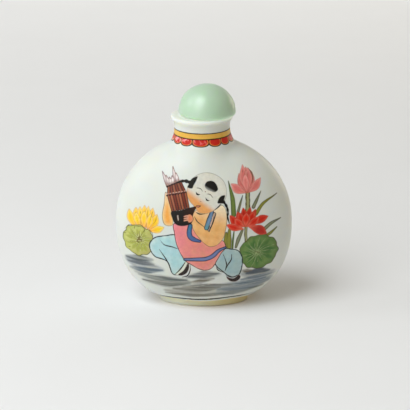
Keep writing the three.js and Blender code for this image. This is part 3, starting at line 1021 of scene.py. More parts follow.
def back_water():
    """A few level strokes under the spray."""
    return strokes([
        ("6a736f", [(-18.0, -14.0), (-6.0, -13.4), (6.0, -13.6)], (0.2, 0.9, 0.3)),
        ("7d8a91", [(-10.0, -16.4), (2.0, -16.0), (16.0, -15.4)], (0.3, 0.8, 0.3)),
        ("6a736f", [(-14.0, -18.6), (-2.0, -18.8), (10.0, -18.2)], (0.2, 0.8, 0.3)),
        ("7d8a91", [(-4.0, -20.8), (5.0, -20.6), (13.0, -19.6)], (0.1, 0.5, 0.2)),
    ])


def back_stems():
    """Two stems and two blades."""
    rows = [
        ("5a4c2a", [(-1.0, -12.5), (-2.5, -2.0), (-1.0, 6.0)], (0.4, 0.36, 0.34)),
        ("5a4c2a", [(1.0, -12.5), (6.0, -6.0), (8.5, -1.0)], (0.38, 0.34, 0.32)),
        ("6a6a22", [(-2.0, -12.5), (-7.5, -4.0), (-12.5, 7.5)], (0.7, 0.7, 0.25)),
        ("63664a", [(2.0, -12.5), (4.5, -1.0), (9.0, 9.5)], (0.6, 0.6, 0.25)),
    ]
    return strokes(rows, core="8a8c50", fade=0.45)


def back_leaf():
    """One full leaf seen from above."""
    outline = leaf_outline(BACK_LEAF, 9, 0.03)
    return [Patch("64773c", "7f9a58", 1.3, mottle=("6b8f4c", 0.8), outline=outline)]


def back_shade():
    """The darker wedges of the leaf."""
    return leaf_wedges(BACK_LEAF, 11, 0.1, "58813f", "386a31")


def back_ribs():
    """Ribs of the leaf."""
    return leaf_ribs("8f9a5a", BACK_LEAF.hub, (5.8, 4.0), 11, 0.4, 0.12)


def back_petals_back():
    """Hind petals of one open lotus."""
    tips = [(-5.2, 12.0), (-2.2, 13.6), (1.2, 13.4), (4.0, 11.6)]
    return flower([(("dc9a92", "d0726b"), (-0.8, 5.5), tip, 3.0, 0.0, ROSE) for tip in tips])


def back_petals_middle():
    """Side petals of the open lotus, and a bud."""
    tips = [(-7.4, 8.6, 0.8), (-3.6, 12.6, 0.3), (2.8, 12.4, -0.3), (6.2, 8.2, -0.8)]
    rows = [(("e2a299", "d67a73"), (-0.8, 5.0), (x, h), 3.0, bend, ROSE) for x, h, bend in tips]
    rows.append((("e0705a", "c4200a"), (8.5, -1.5), (10.0, 4.4), 2.8, 0.1, SCARLET))
    return flower(rows)


def back_petals_near():
    """Front petals of the open lotus."""
    tips = [(-5.4, 6.6, 0.4), (-0.6, 11.0, 0.0), (4.4, 6.2, -0.4)]
    return flower([(("e9aca4", "dc857e"), (-0.8, 4.6), (x, h), 2.8, bend, ROSE) for x, h, bend in tips])


# The coats in painter's order: attribute, patches on the front and on the back, density, the ink along their
# edges with its half width and strength, and how softly the edges end. Lengths are in millimetres.
Coat = namedtuple("Coat", "name front back density ink ink_width ink_strength softness")

COATS = [Coat(*row) for row in (
    ("coat_wash", wash, back_wash, 0.85, "8d9a9b", 0.0, 0.0, 0.7),
    ("coat_water", water, back_water, 1.0, "8d9a9b", 0.0, 0.0, 0.45),
    ("coat_glints", glints, None, 0.7, "8d9a9b", 0.0, 0.0, 0.2),
    ("coat_reeds", reeds, back_stems, 1.0, "3a3820", 0.08, 0.6, 0.1),
    ("coat_leaves", full_leaf, back_leaf, 1.0, "54482a", 0.11, 0.85, 0.1),
    ("coat_leaf_shade", full_shade, back_shade, 0.7, "45502a", 0.0, 0.0, 0.4),
    ("coat_ribs", full_ribs, back_ribs, 0.9, "45502a", 0.0, 0.0, 0.09),
    ("coat_petals_back", petals_back, back_petals_back, 1.0, "9c4a28", 0.07, 0.4, 0.1),
    ("coat_petals_middle", petals_middle, back_petals_middle, 1.0, "9c4a28", 0.07, 0.4, 0.1),
    ("coat_petals_near", petals_near, back_petals_near, 1.0, "9c4a28", 0.07, 0.4, 0.1),
    ("coat_young_leaf", young_leaf, None, 1.0, "55582c", 0.11, 0.9, 0.09),
    ("coat_young_shade", young_shade, None, 0.9, "45502a", 0.0, 0.0, 0.2),
    ("coat_trousers", trousers, None, 1.0, "343e3c", 0.17, 1.0, 0.06),
    ("coat_socks", socks, None, 1.0, "3f4a48", 0.08, 0.7, 0.06),
    ("coat_tunic", tunic, None, 1.0, "54302c", 0.12, 0.9, 0.06),
    ("coat_sleeves", sleeves, None, 1.0, "6d4f33", 0.09, 0.7, 0.08),
    ("coat_trims", trims, None, 1.0, "222c38", 0.12, 0.95, 0.07),
    ("coat_head", head, None, 1.0, "8a8678", 0.08, 0.7, 0.08),
    ("coat_tips", tips, None, 1.0, "6e4640", 0.07, 0.8, 0.07),
    ("coat_pipes", pipes, None, 1.0, "3b140c", 0.07, 0.9, 0.07),
    ("coat_bindings", bindings, None, 0.9, "3b140c", 0.0, 0.0, 0.08),
    ("coat_lacquer", lacquer, None, 1.0, "15110d", 0.0, 0.0, 0.14),
    ("coat_flesh", flesh, None, 1.0, "4a2416", 0.09, 0.85, 0.07),
    ("coat_brushwork", brushwork, None, 1.0, "15110d", 0.0, 0.0, 0.07),
)]
WET_COATS = ("coat_wash", "coat_water", "coat_glints")


def paint_coats(mesh):
    """Lays every coat on the mesh as a colour attribute: enamel in red, green and blue, distance in alpha."""
    places = np.empty(len(mesh.vertices) * 3, np.float32)
    mesh.vertices.foreach_get("co", places)
    x, y, z = places.reshape(-1, 3).astype(float).T / MM
    h = z - LEVEL
    outer = np.hypot(x / HALF_WIDTH, y / HALF_DEPTH) > fullness(h) - SKIN_DEPTH
    for coat in COATS:
        colour = np.ones((len(x), 4))
        colour[:, 3] = FAR
        for patches, facing in ((coat.front, -y), (coat.back, y)):
            where = np.flatnonzero((facing > 0) & outer)
            across = x[where] if patches is coat.front else -x[where]
            for patch in patches() if patches else ():
                near, distance, tint = patch.measure(across, h[where])
                at = where[near]
                closer = distance < colour[at, 3]
                colour[at[closer], :3] = tint[closer]
                colour[at[closer], 3] = distance[closer]
        layer = mesh.color_attributes.new(coat.name, "FLOAT_COLOR", "POINT")
        layer.data.foreach_set("color", colour.astype(np.float32).ravel())


# ---------------------------------------------------------------- shader groups


class Wiring:
    """Adds and joins nodes in one tree, left to right."""

    def __init__(self, tree):
        self.tree = tree
        self.column = 0

    def feed(self, socket, value):
        """Joins an output to the socket, or sets the socket's own value."""
        if isinstance(value, bpy.types.NodeSocket):
            self.tree.links.new(value, socket)
        elif socket.type == "RGBA" and len(value) == 3:
            socket.default_value = (*value, 1.0)
        else:
            socket.default_value = value

    def fill(self, node, **values):
        """Feeds a node's inputs by name, with spaces written as underscores."""
        for name, value in values.items():
            self.feed(node.inputs[name.replace("_", " ")], value)

    def node(self, kind, **settings):
        """A node of one kind. Settings are its inputs by name, as in fill, or its own properties."""
        node = self.tree.nodes.new(kind)
        node.location = (self.column * 190, -(self.column % 3) * 160)
        self.column += 1
        for name, value in settings.items():
            if name.replace("_", " ") in node.inputs:
                self.fill(node, **{name: value})
            else:
                setattr(node, name, value)
        return node

    def group(self, tree, **values):
        """A node that stands for a group."""
        return self.node("ShaderNodeGroup", node_tree=tree, **values)

    def noise(self, place, scale, detail=2.0):
        """Cloudy noise between 0 and 1, with scale as the number of clouds in a metre."""
        return self.node("ShaderNodeTexNoise", Vector=place, Scale=scale, Detail=detail).outputs["Fac"]

    def math(self, operation, first, second=0.0):
        """The result of one sum."""
        node = self.node("ShaderNodeMath", operation=operation)
        self.feed(node.inputs[0], first)
        self.feed(node.inputs[1], second)
        return node.outputs[0]

    # The sums used most, by plain names.

    def plus(self, first, second):
        return self.math("ADD", first, second)

    def minus(self, first, second):
        return self.math("SUBTRACT", first, second)

    def times(self, first, second):
        return self.math("MULTIPLY", first, second)

    def over(self, first, second):
        return self.math("DIVIDE", first, second)

    def larger(self, first, second):
        return self.math("MAXIMUM", first, second)

    def unsigned(self, value):
        return self.math("ABSOLUTE", value)

    def below(self, value, limit, softness):
        """1 where value is below limit and 0 above it, with a smooth step of twice the softness."""
        low, high = self.minus(limit, softness), self.plus(limit, softness)
        return self.node(
            "ShaderNodeMapRange", interpolation_type="SMOOTHSTEP", Value=value,
            From_Min=low, From_Max=high, To_Min=1.0, To_Max=0.0,
        ).outputs["Result"]

    def mix(self, share, first, second):
        """Two colours mixed by a share."""
        node = self.node("ShaderNodeMix", data_type="RGBA", Factor=share)
        self.feed(node.inputs[6], first)
        self.feed(node.inputs[7], second)
        return node.outputs[2]


def new_group(name, inputs, outputs):
    """A shader node group with named sockets. Returns its wiring, its inputs and its output node."""
    tree = bpy.data.node_groups.new(name, "ShaderNodeTree")
    kinds = {"colour": "NodeSocketColor", "number": "NodeSocketFloat", "vector": "NodeSocketVector"}
    for label, kind, default in inputs:
        socket = tree.interface.new_socket(label, in_out="INPUT", socket_type=kinds[kind])
        if default is not None:
            socket.default_value = default
    for label, kind in outputs:
        tree.interface.new_socket(label, in_out="OUTPUT", socket_type=kinds[kind])
    wiring = Wiring(tree)
    entry = wiring.node("NodeGroupInput")
    leave = tree.nodes.new("NodeGroupOutput")
    return wiring, entry.outputs, leave


def coat_group():
    """Lays one coat over the ground: fills inside its edge, then inks along the edge.

    Waver runs from 0 to 1 and makes the hand unsure: it moves the edge, and thins and thickens the ink.
    """
    wiring, given, leave = new_group(
        "Enamel coat",
        [
            ("Ground", "colour", (1, 1, 1, 1)),
            ("Cover So Far", "number", 0.0),
            ("Enamel", "colour", (1, 1, 1, 1)),
            ("Distance", "number", FAR),
            ("Density", "number", 1.0),
            ("Softness", "number", 0.1),
            ("Ink", "colour", (0, 0, 0, 1)),
            ("Ink Half Width", "number", 0.1),
            ("Ink Strength", "number", 1.0),
            ("Waver", "number", 0.5),
        ],
        [("Colour", "colour"), ("Cover", "number")],
    )
    unsure = wiring.minus(given["Waver"], 0.5)
    distance = wiring.plus(given["Distance"], wiring.times(unsure, EDGE_WAVER))
    fill = wiring.times(wiring.below(distance, 0.0, given["Softness"]), given["Density"])
    filled = wiring.mix(fill, given["Ground"], given["Enamel"])
    width = wiring.times(given["Ink Half Width"], wiring.plus(wiring.times(unsure, INK_WAVER), 1.0))
    edge = wiring.below(wiring.unsigned(distance), width, given["Softness"])
    line = wiring.times(edge, given["Ink Strength"])
    cover = wiring.larger(given["Cover So Far"], wiring.larger(fill, line))
    wiring.fill(leave, Colour=wiring.mix(line, filled, given["Ink"]), Cover=cover)
    return wiring.tree


def ring_group():
    """A ring of paint between two heights: 1 inside, with soft edges."""
    wiring, given, leave = new_group(
        "Ring between heights",
        [
            ("Height", "number", 0.0),
            ("Middle", "number", 0.0),
            ("Half Width", "number", 1.0),
            ("Softness", "number", 0.05),
        ],
        [("Mask", "number")],
    )
    away = wiring.unsigned(wiring.minus(given["Height"], given["Middle"]))
    wiring.fill(leave, Mask=wiring.below(away, given["Half Width"], given["Softness"]))
    return wiring.tree


def lappet_group():
    """Distance to a ring of hanging lobes around the neck, in millimetres, below zero inside a lobe.

    The angle around the axis, made a little uneven by 0.05 * sin(4 * angle + 1.69), is cut into equal
    shares. In each share s is the distance across from its middle, v the distance above or below the
    ring's middle, a and b the half width and half height, and the distance to the lobe is
    (((s / a) ** p + (v / b) ** p) ** (1 / p) - 1) * b, where p is the Squareness.
    """
    wiring, given, leave = new_group(
        "Lappets",
        [
            ("X", "number", 0.0),
            ("Y", "number", 0.0),
            ("Height", "number", 0.0),
            ("Count", "number", 13.0),
            ("Turn", "number", 0.0),
            ("Middle", "number", 0.0),
            ("Half Width", "number", 2.36),
            ("Half Height", "number", 1.42),
            ("Squareness", "number", 2.3),
            ("Radius", "number", 9.3),
        ],
        [("Distance", "number")],
    )
    angle = wiring.plus(wiring.math("ARCTAN2", given["Y"], given["X"]), given["Turn"])
    uneven = wiring.math("SINE", wiring.plus(wiring.times(angle, 4.0), 1.69))
    angle = wiring.plus(angle, wiring.times(uneven, 0.05))
    share = wiring.over(wiring.times(angle, given["Count"]), 2 * math.pi)
    # The added whole number keeps the share above zero and moves no lobe.
    local = wiring.minus(wiring.math("FRACT", wiring.plus(share, 50.0)), 0.5)
    pitch = wiring.over(wiring.times(given["Radius"], 2 * math.pi), given["Count"])
    across = wiring.unsigned(wiring.times(local, pitch))
    down = wiring.unsigned(wiring.minus(given["Height"], given["Middle"]))
    a = wiring.math("POWER", wiring.over(across, given["Half Width"]), given["Squareness"])
    b = wiring.math("POWER", wiring.over(down, given["Half Height"]), given["Squareness"])
    reach = wiring.math("POWER", wiring.plus(a, b), wiring.over(1.0, given["Squareness"]))
    wiring.fill(leave, Distance=wiring.times(wiring.minus(reach, 1.0), given["Half Height"]))
    return wiring.tree


def bristle_group():
    """Fine level streaks such as a drying brush leaves: stretched noise between Low and 1."""
    wiring, given, leave = new_group(
        "Bristle streaks",
        [("Place", "vector", None), ("Stretch", "vector", (50.0, 50.0, 1300.0)), ("Low", "number", 0.58)],
        [("Density", "number")],
    )
    scaled = wiring.node("ShaderNodeVectorMath", operation="MULTIPLY")
    wiring.feed(scaled.inputs[0], given["Place"])
    wiring.feed(scaled.inputs[1], given["Stretch"])
    hairs = wiring.noise(scaled.outputs[0], 1.0, 3.0)
    spread = wiring.node(
        "ShaderNodeMapRange", interpolation_type="SMOOTHSTEP", Value=hairs,
        From_Min=0.40, From_Max=0.58, To_Min=given["Low"], To_Max=1.0,
    )
    wiring.fill(leave, Density=spread.outputs["Result"])
    return wiring.tree


# ---------------------------------------------------------------- materials


def new_material(name):
    """An empty material. Returns it, its wiring, its Principled shader and the piece's own coordinates."""
    material = bpy.data.materials.new(name)
    material.use_nodes = True
    shader = next(n for n in material.node_tree.nodes if n.type == "BSDF_PRINCIPLED")
    wiring = Wiring(material.node_tree)
    return material, wiring, shader, wiring.node("ShaderNodeTexCoord").outputs["Object"]


def bump(wiring, height, strength, distance):
    """A normal that follows a height."""
    node = wiring.node("ShaderNodeBump", Height=height, Strength=strength, Distance=distance)
    return node.outputs["Normal"]


def bare_glass(wiring, settings, place, x, z):
    """Opal glass with faint clouds. The foot ring is painted warmer, with painted light passing through the
    glass: pale where it is lit on the left, turning to a honey-coloured painted shade on the right.
    """
    cloud = wiring.times(wiring.noise(place, 90.0), 0.5)
    ground = wiring.mix(cloud, settings.glass, settings.glass_cloud)
    foot = wiring.below(z, settings.foot_height / MM - 0.1, 0.5)
    # Painted light and shade in the foot ring: pale on the lit left, honey on the shaded right.
    honey = wiring.mix(wiring.below(x, 2.0, 16.0), settings.foot_painted_shade, settings.foot_painted_light)
    return wiring.mix(foot, ground, honey)


def enamel_coats(wiring, place, waver, colour):
    """Lays all coats over the glass in painter's order. Returns the colour and how far enamel covers it."""
    group = coat_group()
    streaks = wiring.group(bristle_group(), Place=place).outputs["Density"]
    cover = 0.0
    for coat in COATS:
        attribute = wiring.node("ShaderNodeAttribute", attribute_name=coat.name)
        layer = wiring.group(
            group, Ground=colour, Cover_So_Far=cover, Enamel=attribute.outputs["Color"],
            Distance=attribute.outputs["Alpha"], Waver=waver, Softness=coat.softness, Ink=enamel(coat.ink),
            Density=wiring.times(streaks, coat.density) if coat.name in WET_COATS else coat.density,
            Ink_Half_Width=coat.ink_width, Ink_Strength=coat.ink_strength,
        )
        colour, cover = layer.outputs["Colour"], layer.outputs["Cover"]
    grain = wiring.minus(wiring.noise(place, 1100.0, 3.0), 0.5)
    value = wiring.plus(wiring.times(grain, wiring.times(cover, 0.28)), 1.0)
    return wiring.node("ShaderNodeHueSaturation", Value=value, Color=colour).outputs["Color"], cover


def neck_lappets(wiring, settings, place, axes, colour, cover):
    """The hanging red lobes, darker at the back as painted shade, flecked with pink on the left, each with a
    gilt line inside a dark edge.
    """
    x, y, z = axes
    lobes = wiring.group(
        lappet_group(), X=wiring.minus(x, float(lean(LAPPET_LEAN_Z))), Y=y, Height=z,
        Turn=settings.lappet_turn, Middle=settings.lappet_height / MM,
    ).outputs["Distance"]
    under = wiring.below(z, settings.band_height / MM, 0.05)
    inside = wiring.times(wiring.below(lobes, 0.0, 0.08), under)
    edge = wiring.times(wiring.below(wiring.unsigned(lobes), 0.14, 0.06), under)
    gilt = wiring.times(wiring.below(wiring.unsigned(wiring.plus(lobes, 0.22)), 0.07, 0.06), under)
    # Painted shade: the lobes at the back are a darker red than those at the front.
    red = wiring.mix(wiring.below(y, 0.0, 6.0), settings.lappet_shade, settings.lappet)
    fleck = wiring.minus(1.0, wiring.below(wiring.noise(place, 800.0), 0.56, 0.08))
    red = wiring.mix(wiring.times(fleck, wiring.below(x, -1.0, 5.0)), red, settings.lappet_light)
    colour = wiring.mix(inside, colour, red)
    colour = wiring.mix(wiring.times(gilt, 0.5), colour, settings.gilding)
    colour = wiring.mix(wiring.times(edge, 0.95), colour, settings.line)
    return colour, wiring.larger(cover, wiring.larger(inside, edge))


def painted_rings(wiring, settings, place, waver, axes, colour, cover):
    """The gilt band on the neck between two dark lines, and the tilted line above the foot."""
    x, _, z = axes
    ring = ring_group()
    band_z = settings.band_height / MM
    band = wiring.group(ring, Height=z, Middle=band_z, Half_Width=BAND_HALF_WIDTH).outputs["Mask"]
    gilding = wiring.mix(wiring.noise(place, 420.0), settings.gilding, settings.gilding_deep)
    colour = wiring.mix(band, colour, gilding)
    tilted = wiring.minus(z, wiring.times(x, FOOT_LINE_TILT))
    # The line above the foot is strongest at the front and fades towards the sides.
    fading = wiring.plus(wiring.times(wiring.below(wiring.unsigned(x), 13.0, 2.0), 0.6), 0.36)
    lines = (
        (z, band_z - BAND_LINE_OFFSET, 0.09, 0.96),
        (z, band_z + BAND_LINE_OFFSET, 0.09, 0.96),
        (tilted, settings.line_height / MM, 0.2, fading),
    )
    for height, middle, thin, strength in lines:
        width = wiring.plus(wiring.times(waver, 0.16), thin)
        line = wiring.group(ring, Height=height, Middle=middle, Half_Width=width, Softness=0.06)
        colour = wiring.mix(wiring.times(line.outputs["Mask"], strength), colour, settings.line)
    return colour, wiring.larger(cover, band)


def lip_painted_light(wiring, settings, x, y, z):
    """A painted glow that lightens the shade on the lip around the dome's edge: 0 outside it and below the
    lip.
    """
    aside = wiring.node("ShaderNodeCombineXYZ", X=wiring.minus(x, DOME_OFFSET), Y=y)
    from_dome = wiring.node("ShaderNodeVectorMath", operation="LENGTH")
    wiring.feed(from_dome.inputs[0], aside.outputs["Vector"])
    seat = wiring.below(from_dome.outputs["Value"], LIP_PAINTED_LIGHT_RADIUS, 0.6)
    above = wiring.minus(seat, wiring.below(z, LIP_PAINTED_LIGHT_Z, 0.3))
    glow = wiring.times(wiring.larger(above, 0.0), settings.seat_painted_light)
    return wiring.mix(glow, (0.0, 0.0, 0.0), settings.glass)


def painted_glass(settings):
    """Opal glass under the coats of enamel, the neck's lappets and band, and the line above the foot."""
    material, wiring, shader, place = new_material("Painted opal glass")
    metres = wiring.node("ShaderNodeSeparateXYZ", Vector=place)
    axes = [wiring.over(metres.outputs[i], MM) for i in range(3)]
    x, y, z = axes
    waver = wiring.noise(place, 700.0)
    colour, cover = enamel_coats(wiring, place, waver, bare_glass(wiring, settings, place, x, z))
    colour, cover = neck_lappets(wiring, settings, place, axes, colour, cover)
    colour, cover = painted_rings(wiring, settings, place, waver, axes, colour, cover)
    sheen = wiring.node(
        "ShaderNodeMapRange", Value=cover, To_Min=settings.glass_roughness, To_Max=settings.enamel_roughness,
    )
    height = wiring.plus(wiring.times(cover, 0.03), wiring.times(wiring.noise(place, 160.0, 1.0), 0.02))
    # The emission is the painted glow on the lip, lightening the shade under the dome's edge.
    wiring.fill(
        shader, Base_Color=colour, Roughness=sheen.outputs["Result"], Specular_IOR_Level=0.25,
        Normal=bump(wiring, height, 0.6, MM), Emission_Color=lip_painted_light(wiring, settings, x, y, z),
        Emission_Strength=1.0, Subsurface_Weight=1.0, Subsurface_Radius=(1.0, 0.8, 0.5),
        Subsurface_Scale=settings.glow_depth,
    )
    return material


def jade_glass(settings):
    """Cloudy green glass for the stopper: soft mottling, a satin polish and a faint painted glow at its low
    edge that lightens the shade where it sits on the lip.
    """
    material, wiring, shader, place = new_material("Jade green glass")
    # Painted glow low on the dome, lightening the shade at its seat on the lip.
    low = wiring.below(
        wiring.node("ShaderNodeSeparateXYZ", Vector=place).outputs["Z"], DOME_PAINTED_LIGHT_Z * MM, 0.7 * MM,
    )
    wiring.fill(
        shader, Base_Color=wiring.mix(wiring.noise(place, 170.0, 3.0), settings.jade, settings.jade_cloud),
        Normal=bump(wiring, wiring.noise(place, 900.0), 0.08, 0.1 * MM),
        Roughness=0.32, Specular_IOR_Level=0.8,
        Emission_Color=wiring.mix(wiring.times(low, settings.edge_painted_light), (0.0, 0.0, 0.0), settings.jade),
        Emission_Strength=1.0, Subsurface_Weight=1.0, Subsurface_Radius=(0.6, 1.0, 0.5),
        Subsurface_Scale=3.5 * MM,
    )
    return material


def bark_cork(settings):
    """Bare cork: brown with darker pores."""
    material, wiring, shader, place = new_material("Bare cork")
    pores = wiring.node("ShaderNodeTexVoronoi", Vector=place, Scale=900.0)
    holes = wiring.below(pores.outputs["Distance"], 0.2, 0.1)
    dark = wiring.larger(wiring.times(wiring.noise(place, 700.0, 4.0), 0.6), holes)
    wiring.fill(
        shader, Base_Color=wiring.mix(dark, settings.cork, settings.cork_pore), Roughness=0.9,
        Normal=bump(wiring, wiring.minus(1.0, dark), 0.5, 0.2 * MM),
    )
    return material


def paper(settings):
    """The stage's matt pale paper."""
    material, wiring, shader, place = new_material("Pale paper")
    tooth = wiring.times(wiring.noise(place, 30.0), 0.15)
    wiring.fill(
        shader, Base_Color=wiring.mix(tooth, settings.paper, PAPER_TOOTH), Roughness=0.9,
        Specular_IOR_Level=0.1,
    )
    return material


# ---------------------------------------------------------------- settings


def length_property(name, description, default):
    """A size in metres."""
    return FloatProperty(name=name, description=description, default=default, unit="LENGTH", precision=5)


def angle_property(name, description, degrees):
    """An angle, given in degrees."""
    default = math.radians(degrees)
    return FloatProperty(name=name, description=description, default=default, subtype="ANGLE")


def power_property(name, description, default):
    """A light's power in watts."""
    return FloatProperty(name=name, description=description, default=default, unit="POWER")


def share_property(name, description, default):
    """A share between 0 and 1."""
    return FloatProperty(name=name, description=description, default=default, subtype="FACTOR", min=0, max=1)


def colour_property(name, description, code):
    """A colour in linear light, from six hexadecimal digits."""
    return FloatVectorProperty(
        name=name, description=description, default=tuple(enamel(code)), subtype="COLOR", min=0, max=1,
    )


class SnuffBottleGlass(bpy.types.PropertyGroup):
    """Sizes and colours of the bottle."""

    neck_radius: length_property("Neck radius", "Radius of the neck at its waist", 8.78 * MM)
    wall: length_property("Wall", "Thickness of the glass", 3.0 * MM)
    foot_height: length_property("Foot height", "Height of the foot ring", 2.7 * MM)
    line_height: length_property("Line height", "Height of the dark line above the foot", 3.4 * MM)
    band_height: length_property("Band height", "Height of the middle of the neck's gilt band", 55.87 * MM)
    lappet_height: length_property("Lappet height", "Height of the middle of the hanging lobes", 54.25 * MM)
    lappet_turn: angle_property("Lappet turn", "Turn of the ring of lobes", 24.5)
    glow_depth: length_property("Glow depth", "How far light travels inside the glass", 5.0 * MM)
    glass_roughness: share_property("Glass roughness", "Polish of the bare glass", 0.3)
    enamel_roughness: share_property("Enamel roughness", "Sheen of the enamel", 0.38)
    # Painted glow on the lip under the dome, lightening its shade.
    seat_painted_light: share_property("Seat glow", "Light gathered by the lip under the dome", 0.3)
    glass: colour_property("Glass", "Opal glass", "d8dbd6")
    glass_cloud: colour_property("Glass clouding", "Slightly warmer clouds in the glass", "d1d3c8")
    # Painted light in the foot ring: pale on the lit left, a honey-coloured painted shade on the right.
    foot_painted_light: colour_property("Foot glass", "Glass of the foot ring on the left", "f7ebc8")
    foot_painted_shade: colour_property("Foot honey", "Glass of the foot ring on the right", "f0cf92")
    gilding: colour_property("Gilding", "Neck band", "e8c45e")
    gilding_deep: colour_property("Deep gilding", "Darker touches in the neck band", "d9a444")
    lappet: colour_property("Lappet", "Hanging lobes at the front", "c8281c")
    # The darker red of the lobes at the back is a painted shade.
    lappet_shade: colour_property("Lappet shade", "Hanging lobes at the back", "b42a2a")
    lappet_light: colour_property("Lappet light", "Pale flecks in the hanging lobes", "eda9ae")
    line: colour_property("Line", "Fine dark lines", "221e14")


class SnuffBottleStopper(bpy.types.PropertyGroup):
    """Sizes and colours of the stopper."""

    height: length_property("Height", "Height of the dome above its flat underside", 9.6 * MM)
    radius: length_property("Radius", "Radius of the dome", 9.0 * MM)
    offset: length_property("Offset", "How far the dome sits off the bottle's axis", DOME_OFFSET * MM)
    jade: colour_property("Jade", "Cloudy green glass", "b0c8b0")
    jade_cloud: colour_property("Jade clouds", "Paler clouds in the green glass", "bad1b9")
    # Painted glow low on the dome, lightening the shade at its seat on the lip.
    edge_painted_light: share_property("Edge glow", "Light gathered by the dome's lower edge", 0.25)
    cork: colour_property("Cork", "Bare cork", "b08a5a")
    cork_pore: colour_property("Cork pores", "Pores of the cork", "5d3f24")


class SnuffBottleStage(bpy.types.PropertyGroup):
    """Camera, light and paper."""

    tilt: angle_property("View tilt", "How far the camera looks down", 17)
    distance: length_property("Distance", "Camera's distance from the bottle", 0.7)
    lens: FloatProperty(name="Lens", description="Focal length in millimetres", default=193.2, unit="CAMERA")
    paper: colour_property("Paper", "Floor and backdrop", "ebebeb")
    key: power_property("Key light", "Power of the large window-like light", 8.5)
    low: power_property("Low window", "Power of the lower light beside it", 1.5)
    side: power_property("Side window", "Power of the small light on the far left", 1.0)
    fill: power_property("Warm fill", "Power of the faint warm light from the right", 0.5)
    far: power_property("Far floor light", "Power of the light on the far floor", 0.5)
    near_window: colour_property("Room by the window", "Light of the room on the left", "fcfcfc")
    far_side: colour_property("Room's far side", "Light of the room on the right", "dbcdaf")
    ambient: share_property("Ambient", "Strength of the light from all round", 0.43)


# ---------------------------------------------------------------- stage


def make_sweep(settings):
    """A sheet of paper: level under the bottle, then rising behind it on a quarter turn of 0.3 m radius."""
    radius, near, far, half = 0.3, -0.9, 0.9, 1.6
    turn = np.linspace(0, np.pi / 2, 24)
    y = np.concatenate([[near], far + radius * np.sin(turn), [far + radius]])
    z = np.concatenate([[0.0], radius * (1 - np.cos(turn)), [1.6]])
    x = np.array([-half, half])
    points = np.dstack(np.broadcast_arrays(x[None, :], y[:, None], z[:, None])).reshape(-1, 3)
    row = np.arange(len(y) - 1) * 2
    faces = np.stack([row, row + 1, row + 3, row + 2], 1)
    mesh = bpy.data.meshes.new("paper_sweep")
    mesh.from_pydata(points.tolist(), [], faces.tolist())
    mesh.polygons.foreach_set("use_smooth", np.ones(len(faces), bool))
    sweep = place_in_scene("paper_sweep", mesh)
    mesh.materials.append(paper(settings))


def aim(thing, place, target):
    """Puts a light or camera at a place, looking at a target with its top up."""
    direction = Vector(target) - Vector(place)
    thing.matrix_world = Matrix.Translation(place) @ direction.to_track_quat("-Z", "Y").to_matrix().to_4x4()


def add_light(name, place, target, size, power, colour):
    """A square light at a place, aimed at a target."""
    light = bpy.data.lights.new(name, "AREA")
    light.shape = "SQUARE"
    light.size = size
    light.energy = power
    light.color = colour
    aim(place_in_scene(name, light), place, target)
    return light


def make_lights(settings):
    """Three window lights on the left, a faint warm one on the right behind and one for the far floor."""
    middle = (0, 0, LEVEL * MM)
    add_light("window", (-0.5, -0.45, 0.96), middle, 0.7, settings.key, DAYLIGHT)
    add_light("low_window", (-0.5, -0.6, 0.3), middle, 0.5, settings.low, DAYLIGHT)
    add_light("side_window", (-0.82, 0.0, 0.52), middle, 0.25, settings.side, DAYLIGHT)
    warm = add_light("warm_fill", (0.45, 0.5, 0.12), middle, 0.3, settings.fill, (1.0, 0.9, 0.7))
    warm.specular_factor = 0.15
    far = add_light("far_floor", (-0.05, 0.75, 0.9), (-0.05, 0.75, 0), 0.4, settings.far, (1.0, 1.0, 1.0))
    far.spread = math.radians(60)


def make_room(settings):
    """Light from all round, which turns from the window's colour on the left to a warmer one on the right."""
    world = bpy.data.worlds.new("Soft room")
    world.use_nodes = True
    wiring = Wiring(world.node_tree)
    axes = wiring.node("ShaderNodeSeparateXYZ", Vector=wiring.node("ShaderNodeTexCoord").outputs["Generated"])
    share = wiring.node("ShaderNodeMapRange", Value=axes.outputs["X"], From_Min=-0.6, From_Max=0.8)
    colour = wiring.mix(share.outputs["Result"], settings.near_window, settings.far_side)
    wiring.fill(world.node_tree.nodes["Background"], Color=colour, Strength=settings.ambient)
    bpy.context.scene.world = world


def make_camera(settings):
    """A long lens looking down on the body's middle, moved aside so that the bottle sits a little low."""
    camera = bpy.data.cameras.new("view")
    camera.lens = settings.lens
    camera.sensor_width = 36.0
    camera.clip_end = 10.0
    eye = place_in_scene("view", camera)
    tilt = settings.tilt
    back = Vector((0, -math.cos(tilt), math.sin(tilt)))
    up = Vector((0, math.sin(tilt), math.cos(tilt)))
    target = Vector((AIM_ASIDE * MM, 0, LEVEL * MM)) + up * AIM_RISE * MM
    aim(eye, target + back * settings.distance, target)
    bpy.context.scene.camera = eye


# ---------------------------------------------------------------- operators


class SNUFF_OT_bottle(bpy.types.Operator):
    """Make the painted glass bottle in place of its solid"""

    bl_idname = "snuff.bottle"
    bl_label = "Bottle"

    def execute(self, context):
        settings = context.scene.snuff_glass
        piece = skin_piece("painted_bottle", *bottle_rings(settings))
        paint_coats(piece.data)
        piece.data.materials.append(painted_glass(settings))
        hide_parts("bottle")
        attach(piece, BODY)
        return {"FINISHED"}


class SNUFF_OT_stopper(bpy.types.Operator):
    """Make the green dome in place of its solid, resting on the lip"""

    bl_idname = "snuff.stopper"
    bl_label = "Stopper dome"

    def execute(self, context):
        settings = context.scene.snuff_stopper
        piece = skin_piece("jade_dome", *dome_rings(settings))
        piece.data.materials.append(jade_glass(settings))
        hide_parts("stopper_dome")
        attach(piece, BODY)
        return {"FINISHED"}


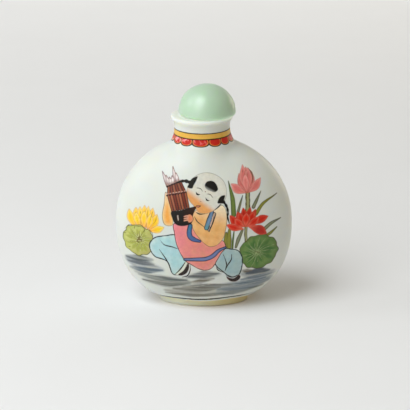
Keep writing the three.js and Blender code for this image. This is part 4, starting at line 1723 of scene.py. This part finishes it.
class SNUFF_OT_cork(bpy.types.Operator):
    """Give the cork inside the neck its bare cork finish"""

    bl_idname = "snuff.cork"
    bl_label = "Cork"

    def execute(self, context):
        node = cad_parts["stopper_cork"]
        node.data.materials.clear()
        node.data.materials.append(bark_cork(context.scene.snuff_stopper))
        return {"FINISHED"}


class SNUFF_OT_stage(bpy.types.Operator):
    """Make the pale sweep, the soft lights and the camera"""

    bl_idname = "snuff.stage"
    bl_label = "Stage"

    def execute(self, context):
        settings = context.scene.snuff_stage
        make_sweep(settings)
        make_lights(settings)
        make_room(settings)
        make_camera(settings)
        context.scene.view_settings.view_transform = "Standard"
        return {"FINISHED"}


class SNUFF_PT_panel(bpy.types.Panel):
    """Lists the pieces and their settings"""

    bl_label = "Snuff Bottle"
    bl_idname = "SNUFF_PT_panel"
    bl_space_type = "VIEW_3D"
    bl_region_type = "UI"
    bl_category = "Snuff Bottle"

    def draw(self, context):
        for group, operators in (
            ("snuff_glass", ("snuff.bottle",)),
            ("snuff_stopper", ("snuff.stopper", "snuff.cork")),
            ("snuff_stage", ("snuff.stage",)),
        ):
            box = self.layout.box()
            settings = getattr(context.scene, group)
            for name in settings.__annotations__:
                box.prop(settings, name)
            for operator in operators:
                box.operator(operator)


CLASSES = (
    SnuffBottleGlass,
    SnuffBottleStopper,
    SnuffBottleStage,
    SNUFF_OT_bottle,
    SNUFF_OT_stopper,
    SNUFF_OT_cork,
    SNUFF_OT_stage,
    SNUFF_PT_panel,
)


def register():
    for cls in CLASSES:
        bpy.utils.register_class(cls)
    bpy.types.Scene.snuff_glass = PointerProperty(type=SnuffBottleGlass)
    bpy.types.Scene.snuff_stopper = PointerProperty(type=SnuffBottleStopper)
    bpy.types.Scene.snuff_stage = PointerProperty(type=SnuffBottleStage)


def unregister():
    del bpy.types.Scene.snuff_stage
    del bpy.types.Scene.snuff_stopper
    del bpy.types.Scene.snuff_glass
    for cls in reversed(CLASSES):
        bpy.utils.unregister_class(cls)


def main():
    """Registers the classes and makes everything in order."""
    register()
    bpy.ops.snuff.stage()
    bpy.ops.snuff.bottle()
    bpy.ops.snuff.stopper()
    bpy.ops.snuff.cork()


if __name__ == "__main__":
    main()
